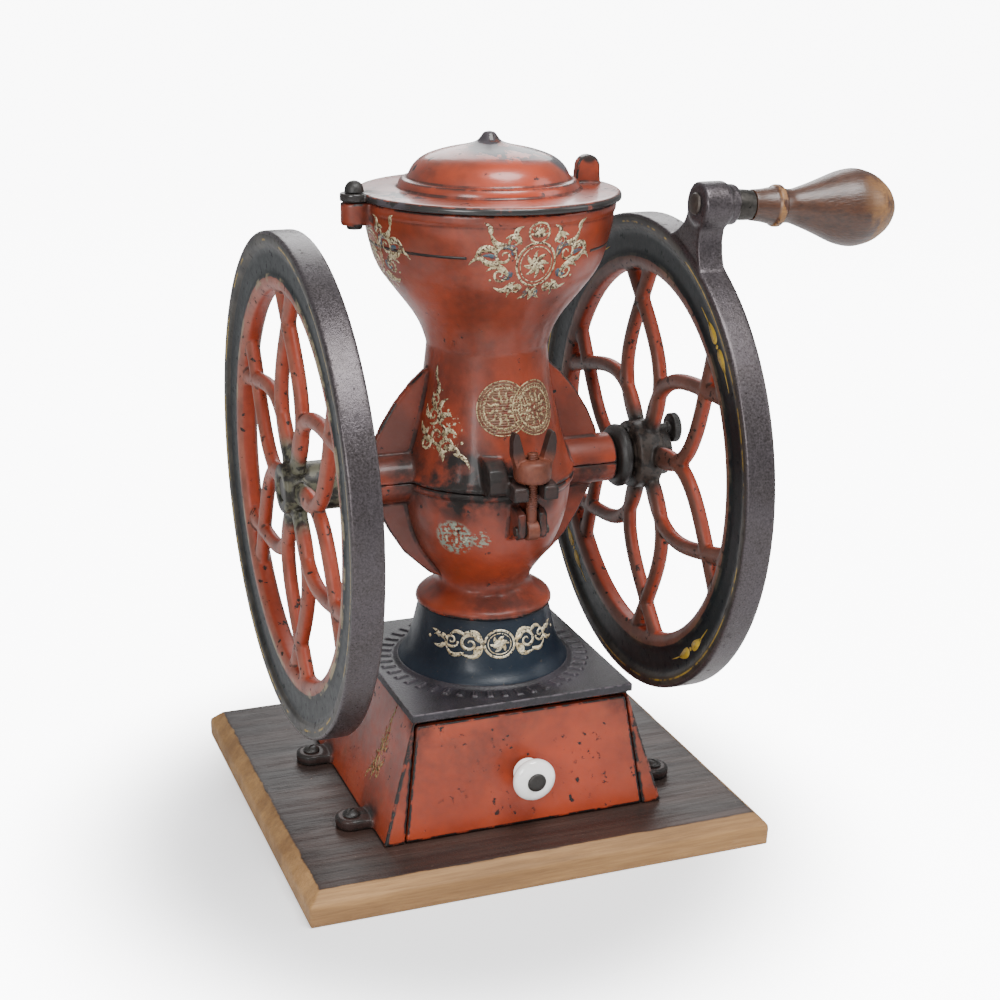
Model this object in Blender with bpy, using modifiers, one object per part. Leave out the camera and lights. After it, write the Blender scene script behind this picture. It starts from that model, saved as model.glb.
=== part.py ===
"""Two-wheel hand coffee grinder mill on a wooden board.

+X runs along the axle towards the crank wheel, -Y is the drawer's side, +Z is up.
The origin is on the underside of the board, below the axis of the hopper.
"""

import math

import bmesh
import bpy
import numpy as np
from mathutils import Matrix, Vector

# Driving dimensions, metres
GAP = 0.0003
AXLE_HEIGHT = 0.2051
AXLE_RADIUS = 0.00635
AXLE_LEFT_END = -0.1165
AXLE_RIGHT_END = 0.1105

BOARD_SIZE = (0.2706, 0.2432, 0.0182)
BOARD_CENTRE = (-0.0005, 0.0112)
BOARD_CHAMFER = 0.0068

BASE_BOTTOM_HALF = (0.0835, 0.0735)
BASE_TOP_HALF = (0.0630, 0.0640)
BASE_WALL = 0.005
PLATE_HALF = (0.0652, 0.0666)
PLATE_TOP = 0.0926
PLATE_THICKNESS = 0.0050
FOOT_LUG_X = 0.0930
FOOT_LUG_Y = 0.0420
FOOT_LUG_RADIUS = 0.0090
FOOT_LUG_HEIGHT = 0.0062

PEDESTAL_TOP = 0.1280
BOSS_RADIUS = 0.0138
BOSS_END = 0.0755
WEB_THICKNESS = 0.0050

WHEEL_RADIUS = 0.1365
WHEEL_WIDTH = 0.0168
LEFT_WHEEL_X = -0.1093
RIGHT_WHEEL_X = 0.0988
BEAD_INNER = 0.1280
CHANNEL_INNER = 0.1130
RIM_INNER = 0.1060
CHANNEL_HALF = 0.0052
PETAL_COUNT = 6
PETAL_START = 0.0080
PETAL_NODE = 0.0890
PETAL_HALF_WIDTH = 0.0215
PETAL_SKEW = 0.85
ROD_HALF_WIDTH = 0.0038
ROD_HALF_DEPTH = 0.0038
LEFT_PHASE = math.radians(87.0)

CRANK_RADIUS = 0.1633
CRANK_ANGLE = math.radians(112.3)
CRANK_TILT = math.radians(3.7)
CRANK_PIN_RADIUS = 0.0040
CRANK_X = 0.1010
RIGHT_PHASE = CRANK_ANGLE - math.pi / PETAL_COUNT

LID_PIVOT_X = -0.0740
LID_UNDERSIDE = 0.3562

CLAMP_X = 0.0050
CLAMP_Y = -0.0575
CLAMP_PIVOT_Z = 0.1870
BOLT_RADIUS = 0.0030
NUT_SEAT = 0.0276

DRAWER_HALF_TOP = 0.0622
DRAWER_HALF_BOTTOM = 0.0712
DRAWER_BOTTOM = 0.0190
DRAWER_TOP = 0.0850
KNOB_HEIGHT = 0.0505

X_AXIS = (0.0, math.pi / 2, 0.0)
Y_AXIS = (math.pi / 2, 0.0, 0.0)
Z_AXIS = (0.0, 0.0, 0.0)

for old in list(bpy.data.objects):
    bpy.data.objects.remove(old)

parts = bpy.data.collections.new("coffee_mill")
cutters = bpy.data.collections.new("cutters")
cutters.hide_render = True
for group in (parts, cutters):
    bpy.context.scene.collection.children.link(group)


def make_material(name, colour, roughness, metallic=0.0):
    made = bpy.data.materials.new(name)
    made.use_nodes = True
    shader = made.node_tree.nodes["Principled BSDF"]
    shader.inputs["Base Color"].default_value = (*colour, 1.0)
    shader.inputs["Roughness"].default_value = roughness
    shader.inputs["Metallic"].default_value = metallic
    return made


red_enamel = make_material("red_enamel", (0.42, 0.085, 0.040), 0.45)
black_iron = make_material("black_iron", (0.020, 0.019, 0.018), 0.55, 0.6)
bare_iron = make_material("bare_iron", (0.13, 0.12, 0.10), 0.42, 0.9)
oiled_wood = make_material("oiled_wood", (0.10, 0.045, 0.026), 0.55)
turned_wood = make_material("turned_wood", (0.16, 0.070, 0.030), 0.38)
white_porcelain = make_material("white_porcelain", (0.82, 0.82, 0.79), 0.12)
tinned_sheet = make_material("tinned_sheet", (0.42, 0.40, 0.36), 0.38, 0.9)


def add_object(name, data, material=None):
    """An object in the parts when it has a material, and a hidden helper when it has none."""
    made = bpy.data.objects.new(name, data)
    if material is None:
        cutters.objects.link(made)
        made.hide_render = True
        made.display_type = "WIRE"
    else:
        parts.objects.link(made)
        data.materials.append(material)
    return made


def mesh_object(name, bm, material=None, smooth=False):
    mesh = bpy.data.meshes.new(name)
    bm.to_mesh(mesh)
    bm.free()
    if smooth:
        mesh.shade_smooth()
    return add_object(name, mesh, material)


def box(name, low, high, material=None):
    low, high = Vector(low), Vector(high)
    bm = bmesh.new()
    bmesh.ops.create_cube(bm, size=1.0)
    bmesh.ops.scale(bm, vec=high - low, verts=bm.verts)
    made = mesh_object(name, bm, material)
    made.location = (low + high) / 2
    return made


def cylinder(name, radius, start, length, turn=Z_AXIS, material=None, segments=24, end_radius=None):
    """A cylinder or cone whose first end is centred on start and whose axis is local Z turned."""
    bm = bmesh.new()
    bmesh.ops.create_cone(
        bm, cap_ends=True, segments=segments, radius1=radius,
        radius2=radius if end_radius is None else end_radius, depth=length,
    )
    bmesh.ops.translate(bm, vec=(0, 0, length / 2), verts=bm.verts)
    made = mesh_object(name, bm, material, smooth=True)
    made.rotation_euler = turn
    made.location = start
    return made


def turned(name, profile, material=None, steps=28, turn=Z_AXIS, location=(0, 0, 0), closed=False):
    """A lathe shape: (radius, height) pairs from the top down the outer side, about local Z."""
    bm = bmesh.new()
    ring = [bm.verts.new((radius, 0, height)) for radius, height in profile]
    for first, second in zip(ring, ring[1:]):
        bm.edges.new((first, second))
    if closed:
        bm.edges.new((ring[-1], ring[0]))
    made = mesh_object(name, bm, material)
    screw = made.modifiers.new("turn", "SCREW")
    screw.steps = screw.render_steps = steps
    screw.use_merge_vertices = True
    screw.merge_threshold = 0.00001
    screw.use_smooth_shade = True
    made.rotation_euler = turn
    made.location = location
    return made


def as_mesh(made, name, material=None):
    """The evaluated shape as a plain mesh object, so that it can be cut or joined."""
    bpy.context.view_layer.update()
    graph = bpy.context.evaluated_depsgraph_get()
    mesh = bpy.data.meshes.new_from_object(made.evaluated_get(graph))
    bm = bmesh.new()
    bm.from_mesh(mesh)
    bmesh.ops.remove_doubles(bm, verts=bm.verts, dist=0.00001)
    bmesh.ops.recalc_face_normals(bm, faces=bm.faces)
    bm.to_mesh(mesh)
    bm.free()
    mesh.materials.clear()
    placed = made.matrix_world.copy()
    bpy.data.objects.remove(made)
    solid = add_object(name, mesh, material)
    solid.matrix_world = placed
    return solid


def plate(name, outlines, depth, material=None):
    """A flat plate in local XY: the first outline is its edge and the others are its holes."""
    curve = bpy.data.curves.new(name, "CURVE")
    curve.dimensions = "2D"
    curve.fill_mode = "BOTH"
    curve.extrude = depth / 2
    for outline in outlines:
        spline = curve.splines.new("POLY")
        spline.points.add(len(outline) - 1)
        for point, (x, y) in zip(spline.points, outline):
            point.co = (x, y, 0, 1)
        spline.use_cyclic_u = True
    flat = bpy.data.objects.new(name + "_outline", curve)
    cutters.objects.link(flat)
    return as_mesh(flat, name, material)


def rod(name, points, radius, material=None):
    curve = bpy.data.curves.new(name, "CURVE")
    curve.dimensions = "3D"
    curve.bevel_depth = radius
    curve.bevel_resolution = 2
    curve.use_fill_caps = True
    spline = curve.splines.new("POLY")
    spline.points.add(len(points) - 1)
    for point, place in zip(spline.points, points):
        point.co = (*place, 1)
    guide = bpy.data.objects.new(name + "_path", curve)
    cutters.objects.link(guide)
    return as_mesh(guide, name, material)


def combine(made, operation, tools):
    for tool in tools:
        modifier = made.modifiers.new(tool.name, "BOOLEAN")
        modifier.operation = operation
        modifier.object = tool
    return made


def cut(made, *tools):
    return combine(made, "DIFFERENCE", tools)


def join(made, *tools):
    return combine(made, "UNION", tools)


def keep(made, *tools):
    return combine(made, "INTERSECT", tools)


def arc(centre, radius, first, last, count):
    """Points on an arc between two angles in degrees."""
    angles = np.radians(np.linspace(first, last, count))
    return [(centre[0] + radius * math.cos(a), centre[1] + radius * math.sin(a)) for a in angles]


def shrunk(profile, amount):
    return [(max(radius - amount, 0.0), height) for radius, height in profile]


def capped(profile):
    """The profile closed onto the axis at both of its ends."""
    return [(0.0, profile[0][1]), *profile, (0.0, profile[-1][1])]


# ---------------------------------------------------------------- board and base


def make_board():
    bm = bmesh.new()
    bmesh.ops.create_cube(bm, size=1.0)
    bmesh.ops.scale(bm, vec=BOARD_SIZE, verts=bm.verts)
    top_edges = [edge for edge in bm.edges if all(vert.co.z > 0 for vert in edge.verts)]
    bmesh.ops.bevel(bm, geom=top_edges, offset=BOARD_CHAMFER, segments=1, affect="EDGES")
    board = mesh_object("board", bm, oiled_wood)
    board.location = (*BOARD_CENTRE, BOARD_SIZE[2] / 2)
    return board


def square_frustum(name, bottom_half, top_half, low, high, material=None):
    """A rectangular frustum from a four-sided cone, with its two ends scaled to their sizes."""
    bm = bmesh.new()
    bmesh.ops.create_cone(bm, cap_ends=True, segments=4, radius1=1.0, radius2=1.0, depth=1.0)
    bmesh.ops.rotate(bm, cent=(0, 0, 0), matrix=Matrix.Rotation(math.pi / 4, 3, "Z"), verts=bm.verts)
    for vert in bm.verts:
        half, height = (bottom_half, low) if vert.co.z < 0 else (top_half, high)
        vert.co = (math.copysign(half[0], vert.co.x), math.copysign(half[1], vert.co.y), height)
    return mesh_object(name, bm, material)


def side_at(height):
    """Half width and half depth of the base's sloping sides at a height."""
    low, high = BOARD_SIZE[2], PLATE_TOP - PLATE_THICKNESS
    share = (height - low) / (high - low)
    return [b + (t - b) * share for b, t in zip(BASE_BOTTOM_HALF, BASE_TOP_HALF)]


def make_base(board):
    floor = BOARD_SIZE[2] + GAP
    under_plate = PLATE_TOP - PLATE_THICKNESS
    base = square_frustum(
        "base_casting", side_at(floor), side_at(under_plate + 0.0005), floor, under_plate + 0.0005, red_enamel
    )
    top_plate = box(
        "top_plate", (-PLATE_HALF[0], -PLATE_HALF[1], under_plate), (*PLATE_HALF, PLATE_TOP)
    )
    pedestal = turned("pedestal", capped([
        (0.0375, PEDESTAL_TOP), (0.0395, 0.118), (0.0425, 0.106), (0.0455, 0.099),
        (0.0495, 0.0942), (0.0500, under_plate + 0.001),
    ]))
    join(base, top_plate, pedestal)
    for x_side in (-1, 1):
        for y_side in (-1, 1):
            x, y = x_side * FOOT_LUG_X, y_side * FOOT_LUG_Y
            label = f"{'left' if x_side < 0 else 'right'}_{'front' if y_side < 0 else 'rear'}"
            pad = cylinder(f"lug_{label}", FOOT_LUG_RADIUS, (x, y, floor), FOOT_LUG_HEIGHT, segments=24)
            inner = x_side * (FOOT_LUG_X - 0.0120)
            bridge = box(
                f"bridge_{label}", (min(inner, x), y - FOOT_LUG_RADIUS, floor + 0.0001),
                (max(inner, x), y + FOOT_LUG_RADIUS, floor + FOOT_LUG_HEIGHT - 0.0001),
            )
            join(base, pad, bridge)
    inner_bottom = [half - BASE_WALL for half in side_at(floor - 0.001)]
    inner_top = [half - BASE_WALL for half in side_at(under_plate - 0.0012)]
    room = square_frustum("drawer_room", inner_bottom, inner_top, floor - 0.001, under_plate - 0.0012)
    mouth = plate("drawer_mouth", [[
        (-DRAWER_HALF_BOTTOM - 0.0006, floor - 0.002), (DRAWER_HALF_BOTTOM + 0.0006, floor - 0.002),
        (DRAWER_HALF_TOP + 0.0005, DRAWER_TOP + 0.0006), (-DRAWER_HALF_TOP - 0.0005, DRAWER_TOP + 0.0006),
    ]], 0.040)
    mouth.rotation_euler = Y_AXIS
    mouth.location = (0, -0.070, 0)
    throat = cylinder("throat", 0.0380, (0, 0, under_plate - 0.002), 0.0310, end_radius=0.0320)
    outlet = cylinder("outlet", 0.0240, (0, 0, under_plate), 0.060)
    cut(base, room, mouth, throat, outlet)
    for x_side in (-1, 1):
        for y_side in (-1, 1):
            label = f"{'left' if x_side < 0 else 'right'}_{'front' if y_side < 0 else 'rear'}"
            place = (x_side * FOOT_LUG_X, y_side * FOOT_LUG_Y)
            make_foot_screw(label, place, base, board)
    return base


def make_foot_screw(label, place, base, board):
    """A round-headed wood screw through one lug into the board."""
    seat = BOARD_SIZE[2] + GAP + FOOT_LUG_HEIGHT + GAP
    tip = 0.0040
    turned(f"foot_screw_{label}", [
        (0.0, seat + 0.0028), (0.0026, seat + 0.0024), (0.0046, seat + 0.0010), (0.0050, seat),
        (0.0021, seat), (0.0021, tip + 0.004), (0.0, tip),
    ], black_iron, steps=16, location=(*place, 0))
    hole = cylinder(f"screw_hole_{label}", 0.0025, (*place, tip - 0.0012), 0.040, segments=16)
    cut(base, hole)
    cut(board, hole)


# ---------------------------------------------------------------- the two halves of the case

BOWL_PROFILE = [
    (0.0480, 0.2150), (0.0480, 0.2000), (0.0466, 0.1860), (0.0435, 0.1740), (0.0388, 0.1630),
    (0.0278, 0.1480), (0.0252, 0.1430), (0.0262, 0.1380), (0.0310, 0.1345), (0.0384, 0.1332),
    (0.0392, 0.1318), (0.0392, PEDESTAL_TOP + GAP),
]
BOWL_ROOM = [
    (0.0432, 0.2180), (0.0432, 0.2000), (0.0420, 0.1880), (0.0390, 0.1770), (0.0345, 0.1670),
    (0.0230, 0.1510), (0.0205, 0.1440), (0.0205, PEDESTAL_TOP - 0.002),
]
HOPPER_PROFILE = [
    (0.0676, 0.3556), (0.0676, 0.3500), (0.0646, 0.3370), (0.0622, 0.3270), (0.0588, 0.3190),
    (0.0530, 0.3110), (0.0403, 0.2950), (0.0360, 0.2870), (0.0330, 0.2780), (0.0350, 0.2580),
    (0.0415, 0.2290), (0.0480, 0.2070), (0.0485, 0.1950),
]
HOPPER_ROOM = [
    (0.0636, 0.3580), (0.0636, 0.3480), (0.0606, 0.3380), (0.0585, 0.3280), (0.0548, 0.3200),
    (0.0490, 0.3120), (0.0362, 0.2970), (0.0318, 0.2890), (0.0288, 0.2780), (0.0306, 0.2580),
    (0.0372, 0.2290), (0.0436, 0.2070), (0.0436, 0.1940),
]
PARTITION = (0.0010, 0.0050)
ROOM_TURN = (0.0, 0.0, math.radians(2.0))
WORM_ROOM_RADIUS = 0.0152


def case_fittings(case_name):
    """Bearing bosses, and the tools that bore the case for the axle and the feed worm."""
    bosses = [
        cylinder(
            f"{case_name}_boss_{side}", BOSS_RADIUS, (start, 0, AXLE_HEIGHT), BOSS_END - 0.036, X_AXIS
        )
        for side, start in (("left", -BOSS_END), ("right", 0.036))
    ]
    bore = cylinder(f"{case_name}_bore", AXLE_RADIUS + GAP, (-0.080, 0, AXLE_HEIGHT), 0.160, X_AXIS)
    worm_room = cylinder(
        f"{case_name}_worm_room", WORM_ROOM_RADIUS, (-0.0400, 0, AXLE_HEIGHT), 0.0460, X_AXIS
    )
    return bosses, bore, worm_room


def web(name, outline):
    """A stiffening web in the plane of the axle and the hopper axis, given in (x, z)."""
    made = plate(name, [outline], WEB_THICKNESS)
    made.rotation_euler = Y_AXIS
    return made


def make_lower_case():
    case = turned("lower_case", capped(BOWL_PROFILE), red_enamel, steps=32)
    bosses, bore, worm_room = case_fittings("lower")
    webs = [
        web(f"lower_web_{side}", [
            (sign * 0.0280, 0.2060), (sign * 0.0660, 0.2060), (sign * 0.0640, 0.1900),
            (sign * 0.0570, 0.1750), (sign * 0.0480, 0.1610), (sign * 0.0330, 0.1470),
            (sign * 0.0240, 0.1440),
        ][::sign])
        for side, sign in (("left", -1), ("right", 1))
    ]
    ears = [
        box(f"ear_{side}", (low, -0.0610, 0.1815), (low + 0.0046, -0.0380, 0.1985))
        for side, low in (("left", CLAMP_X - 0.0084), ("right", CLAMP_X + 0.0038))
    ]
    hinge_ears = [
        box(f"hinge_ear_{side}", (low, 0.0420, 0.1920), (low + 0.0060, 0.0600, 0.2045))
        for side, low in (("left", -0.0120), ("right", 0.0060))
    ]
    join(case, *bosses, *webs, *ears, *hinge_ears)
    cut(case, turned("bowl_room", capped(BOWL_ROOM), turn=ROOM_TURN))
    deck = keep(
        turned("deck", capped(shrunk(BOWL_PROFILE[:5], 0.0025))),
        box("deck_limits", (-0.060, -0.060, 0.1985), (PARTITION[1] - 0.0005, 0.060, 0.2120)),
    )
    wall = keep(
        turned("lower_wall", capped(shrunk(BOWL_PROFILE[:5], 0.0025))),
        box("lower_wall_limits", (PARTITION[0], -0.060, 0.1560), (PARTITION[1], 0.060, 0.2125)),
    )
    trough = cylinder("trough", 0.0185, (-0.0440, 0, AXLE_HEIGHT), 0.0470, X_AXIS)
    join(case, deck, wall, trough)
    above = box("above_seam", (-0.10, -0.10, AXLE_HEIGHT - 0.0002), (0.10, 0.10, 0.26))
    pin_hole = cylinder("clamp_pin_hole", 0.0026 + GAP, (-0.020, CLAMP_Y, CLAMP_PIVOT_Z), 0.050, X_AXIS, segments=20)
    hinge_hole = cylinder("lower_hinge_hole", 0.0022 + GAP, (-0.020, 0.0560, 0.1985), 0.040, X_AXIS, segments=20)
    cut(case, above, worm_room, bore, pin_hole, hinge_hole)
    for side, x in (("left", -0.0275), ("right", 0.0275)):
        make_case_bolt(side, x, case)
    return case


def make_case_bolt(side, x, case):
    """A bolt up through the pedestal's top flange into the foot of the lower case."""
    seat = PEDESTAL_TOP - 0.0115
    length = 0.0155
    head = cylinder(f"case_bolt_{side}", 0.0042, (x, 0, seat - 0.0035), 0.0035, material=black_iron, segments=6)
    shank = cylinder(f"bolt_shank_{side}", 0.0021, (x, 0, seat - 0.0010), length, segments=16)
    join(head, shank)
    hole = cylinder(f"bolt_hole_{side}", 0.0024, (x, 0, seat - 0.0010), length + 0.0007, segments=16)
    cut(case, hole)
    cut(bpy.data.objects["base_casting"], hole)


def make_hopper_case():
    case = turned("hopper_case", capped(HOPPER_PROFILE), red_enamel, steps=32)
    bosses, bore, worm_room = case_fittings("hopper")
    webs = [
        web(f"upper_web_{side}", [
            (sign * 0.0280, 0.2010), (sign * 0.0280, 0.2570), (sign * 0.0385, 0.2570),
            (sign * 0.0500, 0.2430), (sign * 0.0610, 0.2270), (sign * 0.0680, 0.2170),
            (sign * 0.0680, 0.2010),
        ][::-sign])
        for side, sign in (("left", -1), ("right", 1))
    ]
    forks = [
        keep(
            box(f"fork_{side}", (low, -0.0650, 0.2010), (low + 0.0085, -0.0380, 0.2180)),
            cylinder(f"fork_round_{side}", NUT_SEAT - GAP, (-0.02, CLAMP_Y, CLAMP_PIVOT_Z), 0.05, X_AXIS, segments=64),
        )
        for side, low in (("left", CLAMP_X - 0.0127), ("right", CLAMP_X + 0.0042))
    ]
    hinge_tongue = box("hinge_tongue", (-0.0056, 0.0488, 0.1935), (0.0056, 0.0598, 0.2100))
    hinge_root = box("hinge_root", (-0.0064, 0.0452, 0.2005), (0.0064, 0.0603, 0.2153))
    join(case, *bosses, *webs, *forks, hinge_root)
    pivot_lug = cylinder("pivot_lug", 0.0072, (LID_PIVOT_X, 0, 0.3440), 0.0116, segments=24)
    pivot_neck = box("pivot_neck", (LID_PIVOT_X, -0.0060, 0.3441), (-0.0640, 0.0060, 0.3555))
    join(case, pivot_lug, pivot_neck)
    cut(case, turned("hopper_room", capped(HOPPER_ROOM), turn=ROOM_TURN))
    wall = keep(
        turned("upper_wall", capped(shrunk(HOPPER_PROFILE[8:], 0.0022))),
        box("upper_wall_limits", (PARTITION[0], -0.060, 0.1955), (PARTITION[1], 0.060, 0.2600)),
    )
    join(case, wall)
    below = box("below_seam", (-0.10, -0.10, 0.15), (0.10, 0.10, AXLE_HEIGHT + 0.0002))
    cut(case, below)
    join(case, hinge_tongue)
    rivet_hole = cylinder("rivet_hole", 0.0028, (LID_PIVOT_X, 0, 0.340), 0.030, segments=20)
    hinge_hole = cylinder("upper_hinge_hole", 0.0022 + GAP, (-0.020, 0.0560, 0.1985), 0.040, X_AXIS, segments=20)
    cut(case, worm_room, bore, rivet_hole, hinge_hole)
    return case


# ---------------------------------------------------------------- lid


def make_lid():
    outer = [
        (0.0, 0.3895), (0.0036, 0.3878), (0.0042, 0.3850), (0.0200, 0.3808), (0.0330, 0.3752),
        (0.0412, 0.3670), (0.0462, 0.3645), (0.0475, 0.3618), (0.0690, 0.3600), (0.0703, 0.3590),
        (0.0703, LID_UNDERSIDE),
    ]
    inner = [
        (0.0590, LID_UNDERSIDE), (0.0430, 0.3590), (0.0380, 0.3650), (0.0300, 0.3715), (0.0, 0.3780),
    ]
    lid = turned("lid", outer + inner, red_enamel, steps=32)
    ear = cylinder("lid_ear", 0.0075, (LID_PIVOT_X, 0, 0.3563), 0.0042, segments=24)
    neck = box("lid_neck", (LID_PIVOT_X, -0.0070, 0.3564), (-0.0640, 0.0070, 0.3604))
    tab = plate("thumb_tab", [[
        (0.0635, 0.3590), *arc((0.0563, 0.3690), 0.0066, 0, 180, 9), (0.0490, 0.3590),
    ]], 0.0055)
    tab.rotation_euler = Y_AXIS
    join(lid, ear, neck, tab)
    cut(lid, cylinder("lid_hole", 0.0028, (LID_PIVOT_X, 0, 0.350), 0.030, segments=20))
    turned("lid_rivet", [
        (0.0, 0.3668), (0.0026, 0.3662), (0.0046, 0.3642), (0.0052, 0.3609), (0.0025, 0.3609),
        (0.0025, 0.3437), (0.0042, 0.3437), (0.0040, 0.3420), (0.0, 0.3414),
    ], black_iron, steps=20, location=(LID_PIVOT_X, 0, 0))
    return lid


# ---------------------------------------------------------------- drawer


def make_drawer():
    slope = (side_at(DRAWER_BOTTOM)[1] - side_at(DRAWER_TOP)[1]) / (DRAWER_TOP - DRAWER_BOTTOM)
    lean = math.atan(slope)
    middle = (DRAWER_BOTTOM + DRAWER_TOP) / 2
    rise = (DRAWER_TOP - DRAWER_BOTTOM) / 2 / math.cos(lean)
    front = plate("drawer_front", [[
        (-DRAWER_HALF_BOTTOM, -rise), (DRAWER_HALF_BOTTOM, -rise),
        (DRAWER_HALF_TOP, rise), (-DRAWER_HALF_TOP, rise),
    ]], 0.0050, red_enamel)
    front.rotation_euler = (math.pi / 2 - lean, 0, 0)
    front.location = (0, -side_at(middle)[1] + 0.0022, middle)
    half, back, tray_top, sheet = 0.0570, 0.0580, 0.0760, 0.0012
    near, floor = -0.0600, BOARD_SIZE[2] + 0.0011
    tray = box("drawer_box", (-half, near, floor), (half, back, tray_top), tinned_sheet)
    cut(tray, box("tray_room", (sheet - half, near + sheet, floor + sheet), (half - sheet, back - sheet, 0.1)))
    knob_y = -side_at(KNOB_HEIGHT)[1]
    knob = turned("drawer_knob", [
        (0.0, 0.0172), (0.0078, 0.0172), (0.0116, 0.0140), (0.0106, 0.0110), (0.0058, 0.0065),
        (0.0078, 0.0019), (0.0, 0.0019),
    ], white_porcelain, steps=24, turn=Y_AXIS, location=(0, knob_y, KNOB_HEIGHT))
    screw = turned("knob_screw", [
        (0.0, 0.0196), (0.0026, 0.0192), (0.0046, 0.0180), (0.0049, 0.0175), (0.0016, 0.0175),
        (0.0016, -0.0123), (0.0, -0.0127),
    ], black_iron, steps=20, turn=Y_AXIS, location=(0, knob_y, KNOB_HEIGHT))
    nut = cylinder(
        "knob_nut", 0.0042, (0, near + sheet + GAP, KNOB_HEIGHT), 0.0030,
        (-math.pi / 2, 0, 0), black_iron, segments=6,
    )
    hole = cylinder("knob_hole", 0.0019, (0, -0.040, KNOB_HEIGHT), 0.060, Y_AXIS, segments=16)
    for made in (front, tray, knob, nut):
        cut(made, hole)
    return front, tray, knob, screw, nut


# ---------------------------------------------------------------- wheels, axle and crank


def rod_offset(radius):
    """Sideways place of a petal's rod, which crosses its pair at the node."""
    share = (radius - PETAL_START) / (PETAL_NODE - PETAL_START)
    return PETAL_HALF_WIDTH * np.sin(np.pi * np.maximum(share, 0) ** PETAL_SKEW)


def rod_edges(radius):
    """Sideways places of the rod's inner and outer edges at a distance along the petal."""
    step = 0.0001
    slope = (rod_offset(radius + step) - rod_offset(radius - step)) / (2 * step)
    half = ROD_HALF_WIDTH * np.sqrt(1 + slope**2)
    centre = np.abs(rod_offset(radius))
    return centre - half, np.sqrt(centre**2 + 0.0015**2) + half


def spun(points, angle):
    cosine, sine = math.cos(angle), math.sin(angle)
    return [(x * cosine - y * sine, x * sine + y * cosine) for x, y in points]


def mirrored_loop(points):
    """A closed outline, symmetric about local X, from the points of its +Y half."""
    return points + [(x, -y) for x, y in reversed(points) if y > 0.00005]


def wheel_holes(phase):
    """Outlines of the petals, of the tear drops past their nodes, and of the gaps between them."""
    radius = np.linspace(0.016, RIM_INNER, 181)
    inner, outer = rod_edges(radius)
    petal = [(r, e) for r, e in zip(radius, inner) if e > 0.0012 and r < PETAL_NODE]
    drop = [(r, e) for r, e in zip(radius, inner) if e > 0.0012 and r > PETAL_NODE and math.hypot(r, e) < RIM_INNER]
    sector = math.pi / PETAL_COUNT
    gap = [
        (r, e) for r, e in zip(radius, outer)
        if r > 0.040 and math.atan2(e, r) < sector - 0.01 and math.hypot(r, e) < RIM_INNER
    ]
    gap = [(x, -y) for x, y in spun(gap, -sector)][::14]
    crown = math.atan2(gap[-1][1], gap[-1][0])
    gap += [spun([(RIM_INNER, 0)], angle)[0] for angle in np.linspace(crown * 0.8, 0, 3)]
    petal = petal[::18] + petal[-1:]
    drop = drop[::7] + [(RIM_INNER, 0)]
    outlines = []
    for index in range(PETAL_COUNT):
        turn = phase + 2 * sector * index
        outlines += [spun(mirrored_loop(petal), turn), spun(mirrored_loop(drop), turn)]
        outlines.append(spun(mirrored_loop(gap), turn + sector))
    return outlines


def make_wheel(name, x, phase, hub, lug=None):
    """One cast wheel. The wheel plane's local X and Y are the part's +Y and +Z."""
    half = WHEEL_WIDTH / 2
    rim = turned(name, [
        (WHEEL_RADIUS, half), (WHEEL_RADIUS, -half), (BEAD_INNER + 0.0010, -half),
        (BEAD_INNER, -CHANNEL_HALF), (CHANNEL_INNER, -CHANNEL_HALF), (RIM_INNER - 0.0010, -0.0060),
        (RIM_INNER - 0.0010, 0.0060), (CHANNEL_INNER, CHANNEL_HALF), (BEAD_INNER, CHANNEL_HALF),
        (BEAD_INNER + 0.0010, half),
    ], red_enamel, steps=48, turn=X_AXIS, location=(x, 0, AXLE_HEIGHT), closed=True)
    edge = [(p, q) for p, q in arc((0, 0), CHANNEL_INNER - 0.003, 0, 360, 41)][:-1]
    spokes = plate(f"{name}_spokes", [edge, *wheel_holes(phase)], 2 * ROD_HALF_DEPTH)
    spokes.rotation_euler = (math.pi / 2, 0, math.pi / 2)
    spokes.location = (x, 0, AXLE_HEIGHT)
    low, high, radius = hub
    barrel = cylinder(f"{name}_hub", radius, (low, 0, AXLE_HEIGHT), high - low, X_AXIS)
    join(rim, spokes, barrel)
    if lug:
        join(rim, *lug)
    cut(rim, cylinder(f"{name}_bore", AXLE_RADIUS + GAP, (x - 0.05, 0, AXLE_HEIGHT), 0.10, X_AXIS))
    return rim


def crank_place(along):
    """A point on the crank pin's axis, at a distance along it from the middle of the lug."""
    middle = Vector((
        CRANK_X, CRANK_RADIUS * math.cos(CRANK_ANGLE),
        AXLE_HEIGHT + CRANK_RADIUS * math.sin(CRANK_ANGLE),
    ))
    return middle + along * Vector((math.cos(CRANK_TILT), 0, -math.sin(CRANK_TILT)))


CRANK_TURN = (0.0, math.pi / 2 + CRANK_TILT, 0.0)


def make_crank_lug():
    """The arm cast on the rim of the crank wheel, with its cross boss."""
    flare = [
        (radius, 0.0088 + 0.0170 * ((0.1540 - radius) / 0.0240) ** 2)
        for radius in np.linspace(0.1300, 0.1540, 7)
    ]
    head = [(CRANK_RADIUS + 0.0118 * math.cos(a), 0.0118 * math.sin(a)) for a in np.radians((110, 80, 50, 25, 0))]
    arm = plate("crank_arm", [spun(mirrored_loop(flare + head), CRANK_ANGLE)], WHEEL_WIDTH - 0.0022)
    arm.rotation_euler = (math.pi / 2, 0, math.pi / 2)
    arm.location = (RIGHT_WHEEL_X, 0, AXLE_HEIGHT)
    boss = cylinder("crank_boss", 0.0105, crank_place(-0.0102), 0.0214, CRANK_TURN, segments=24)
    return arm, boss


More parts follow.
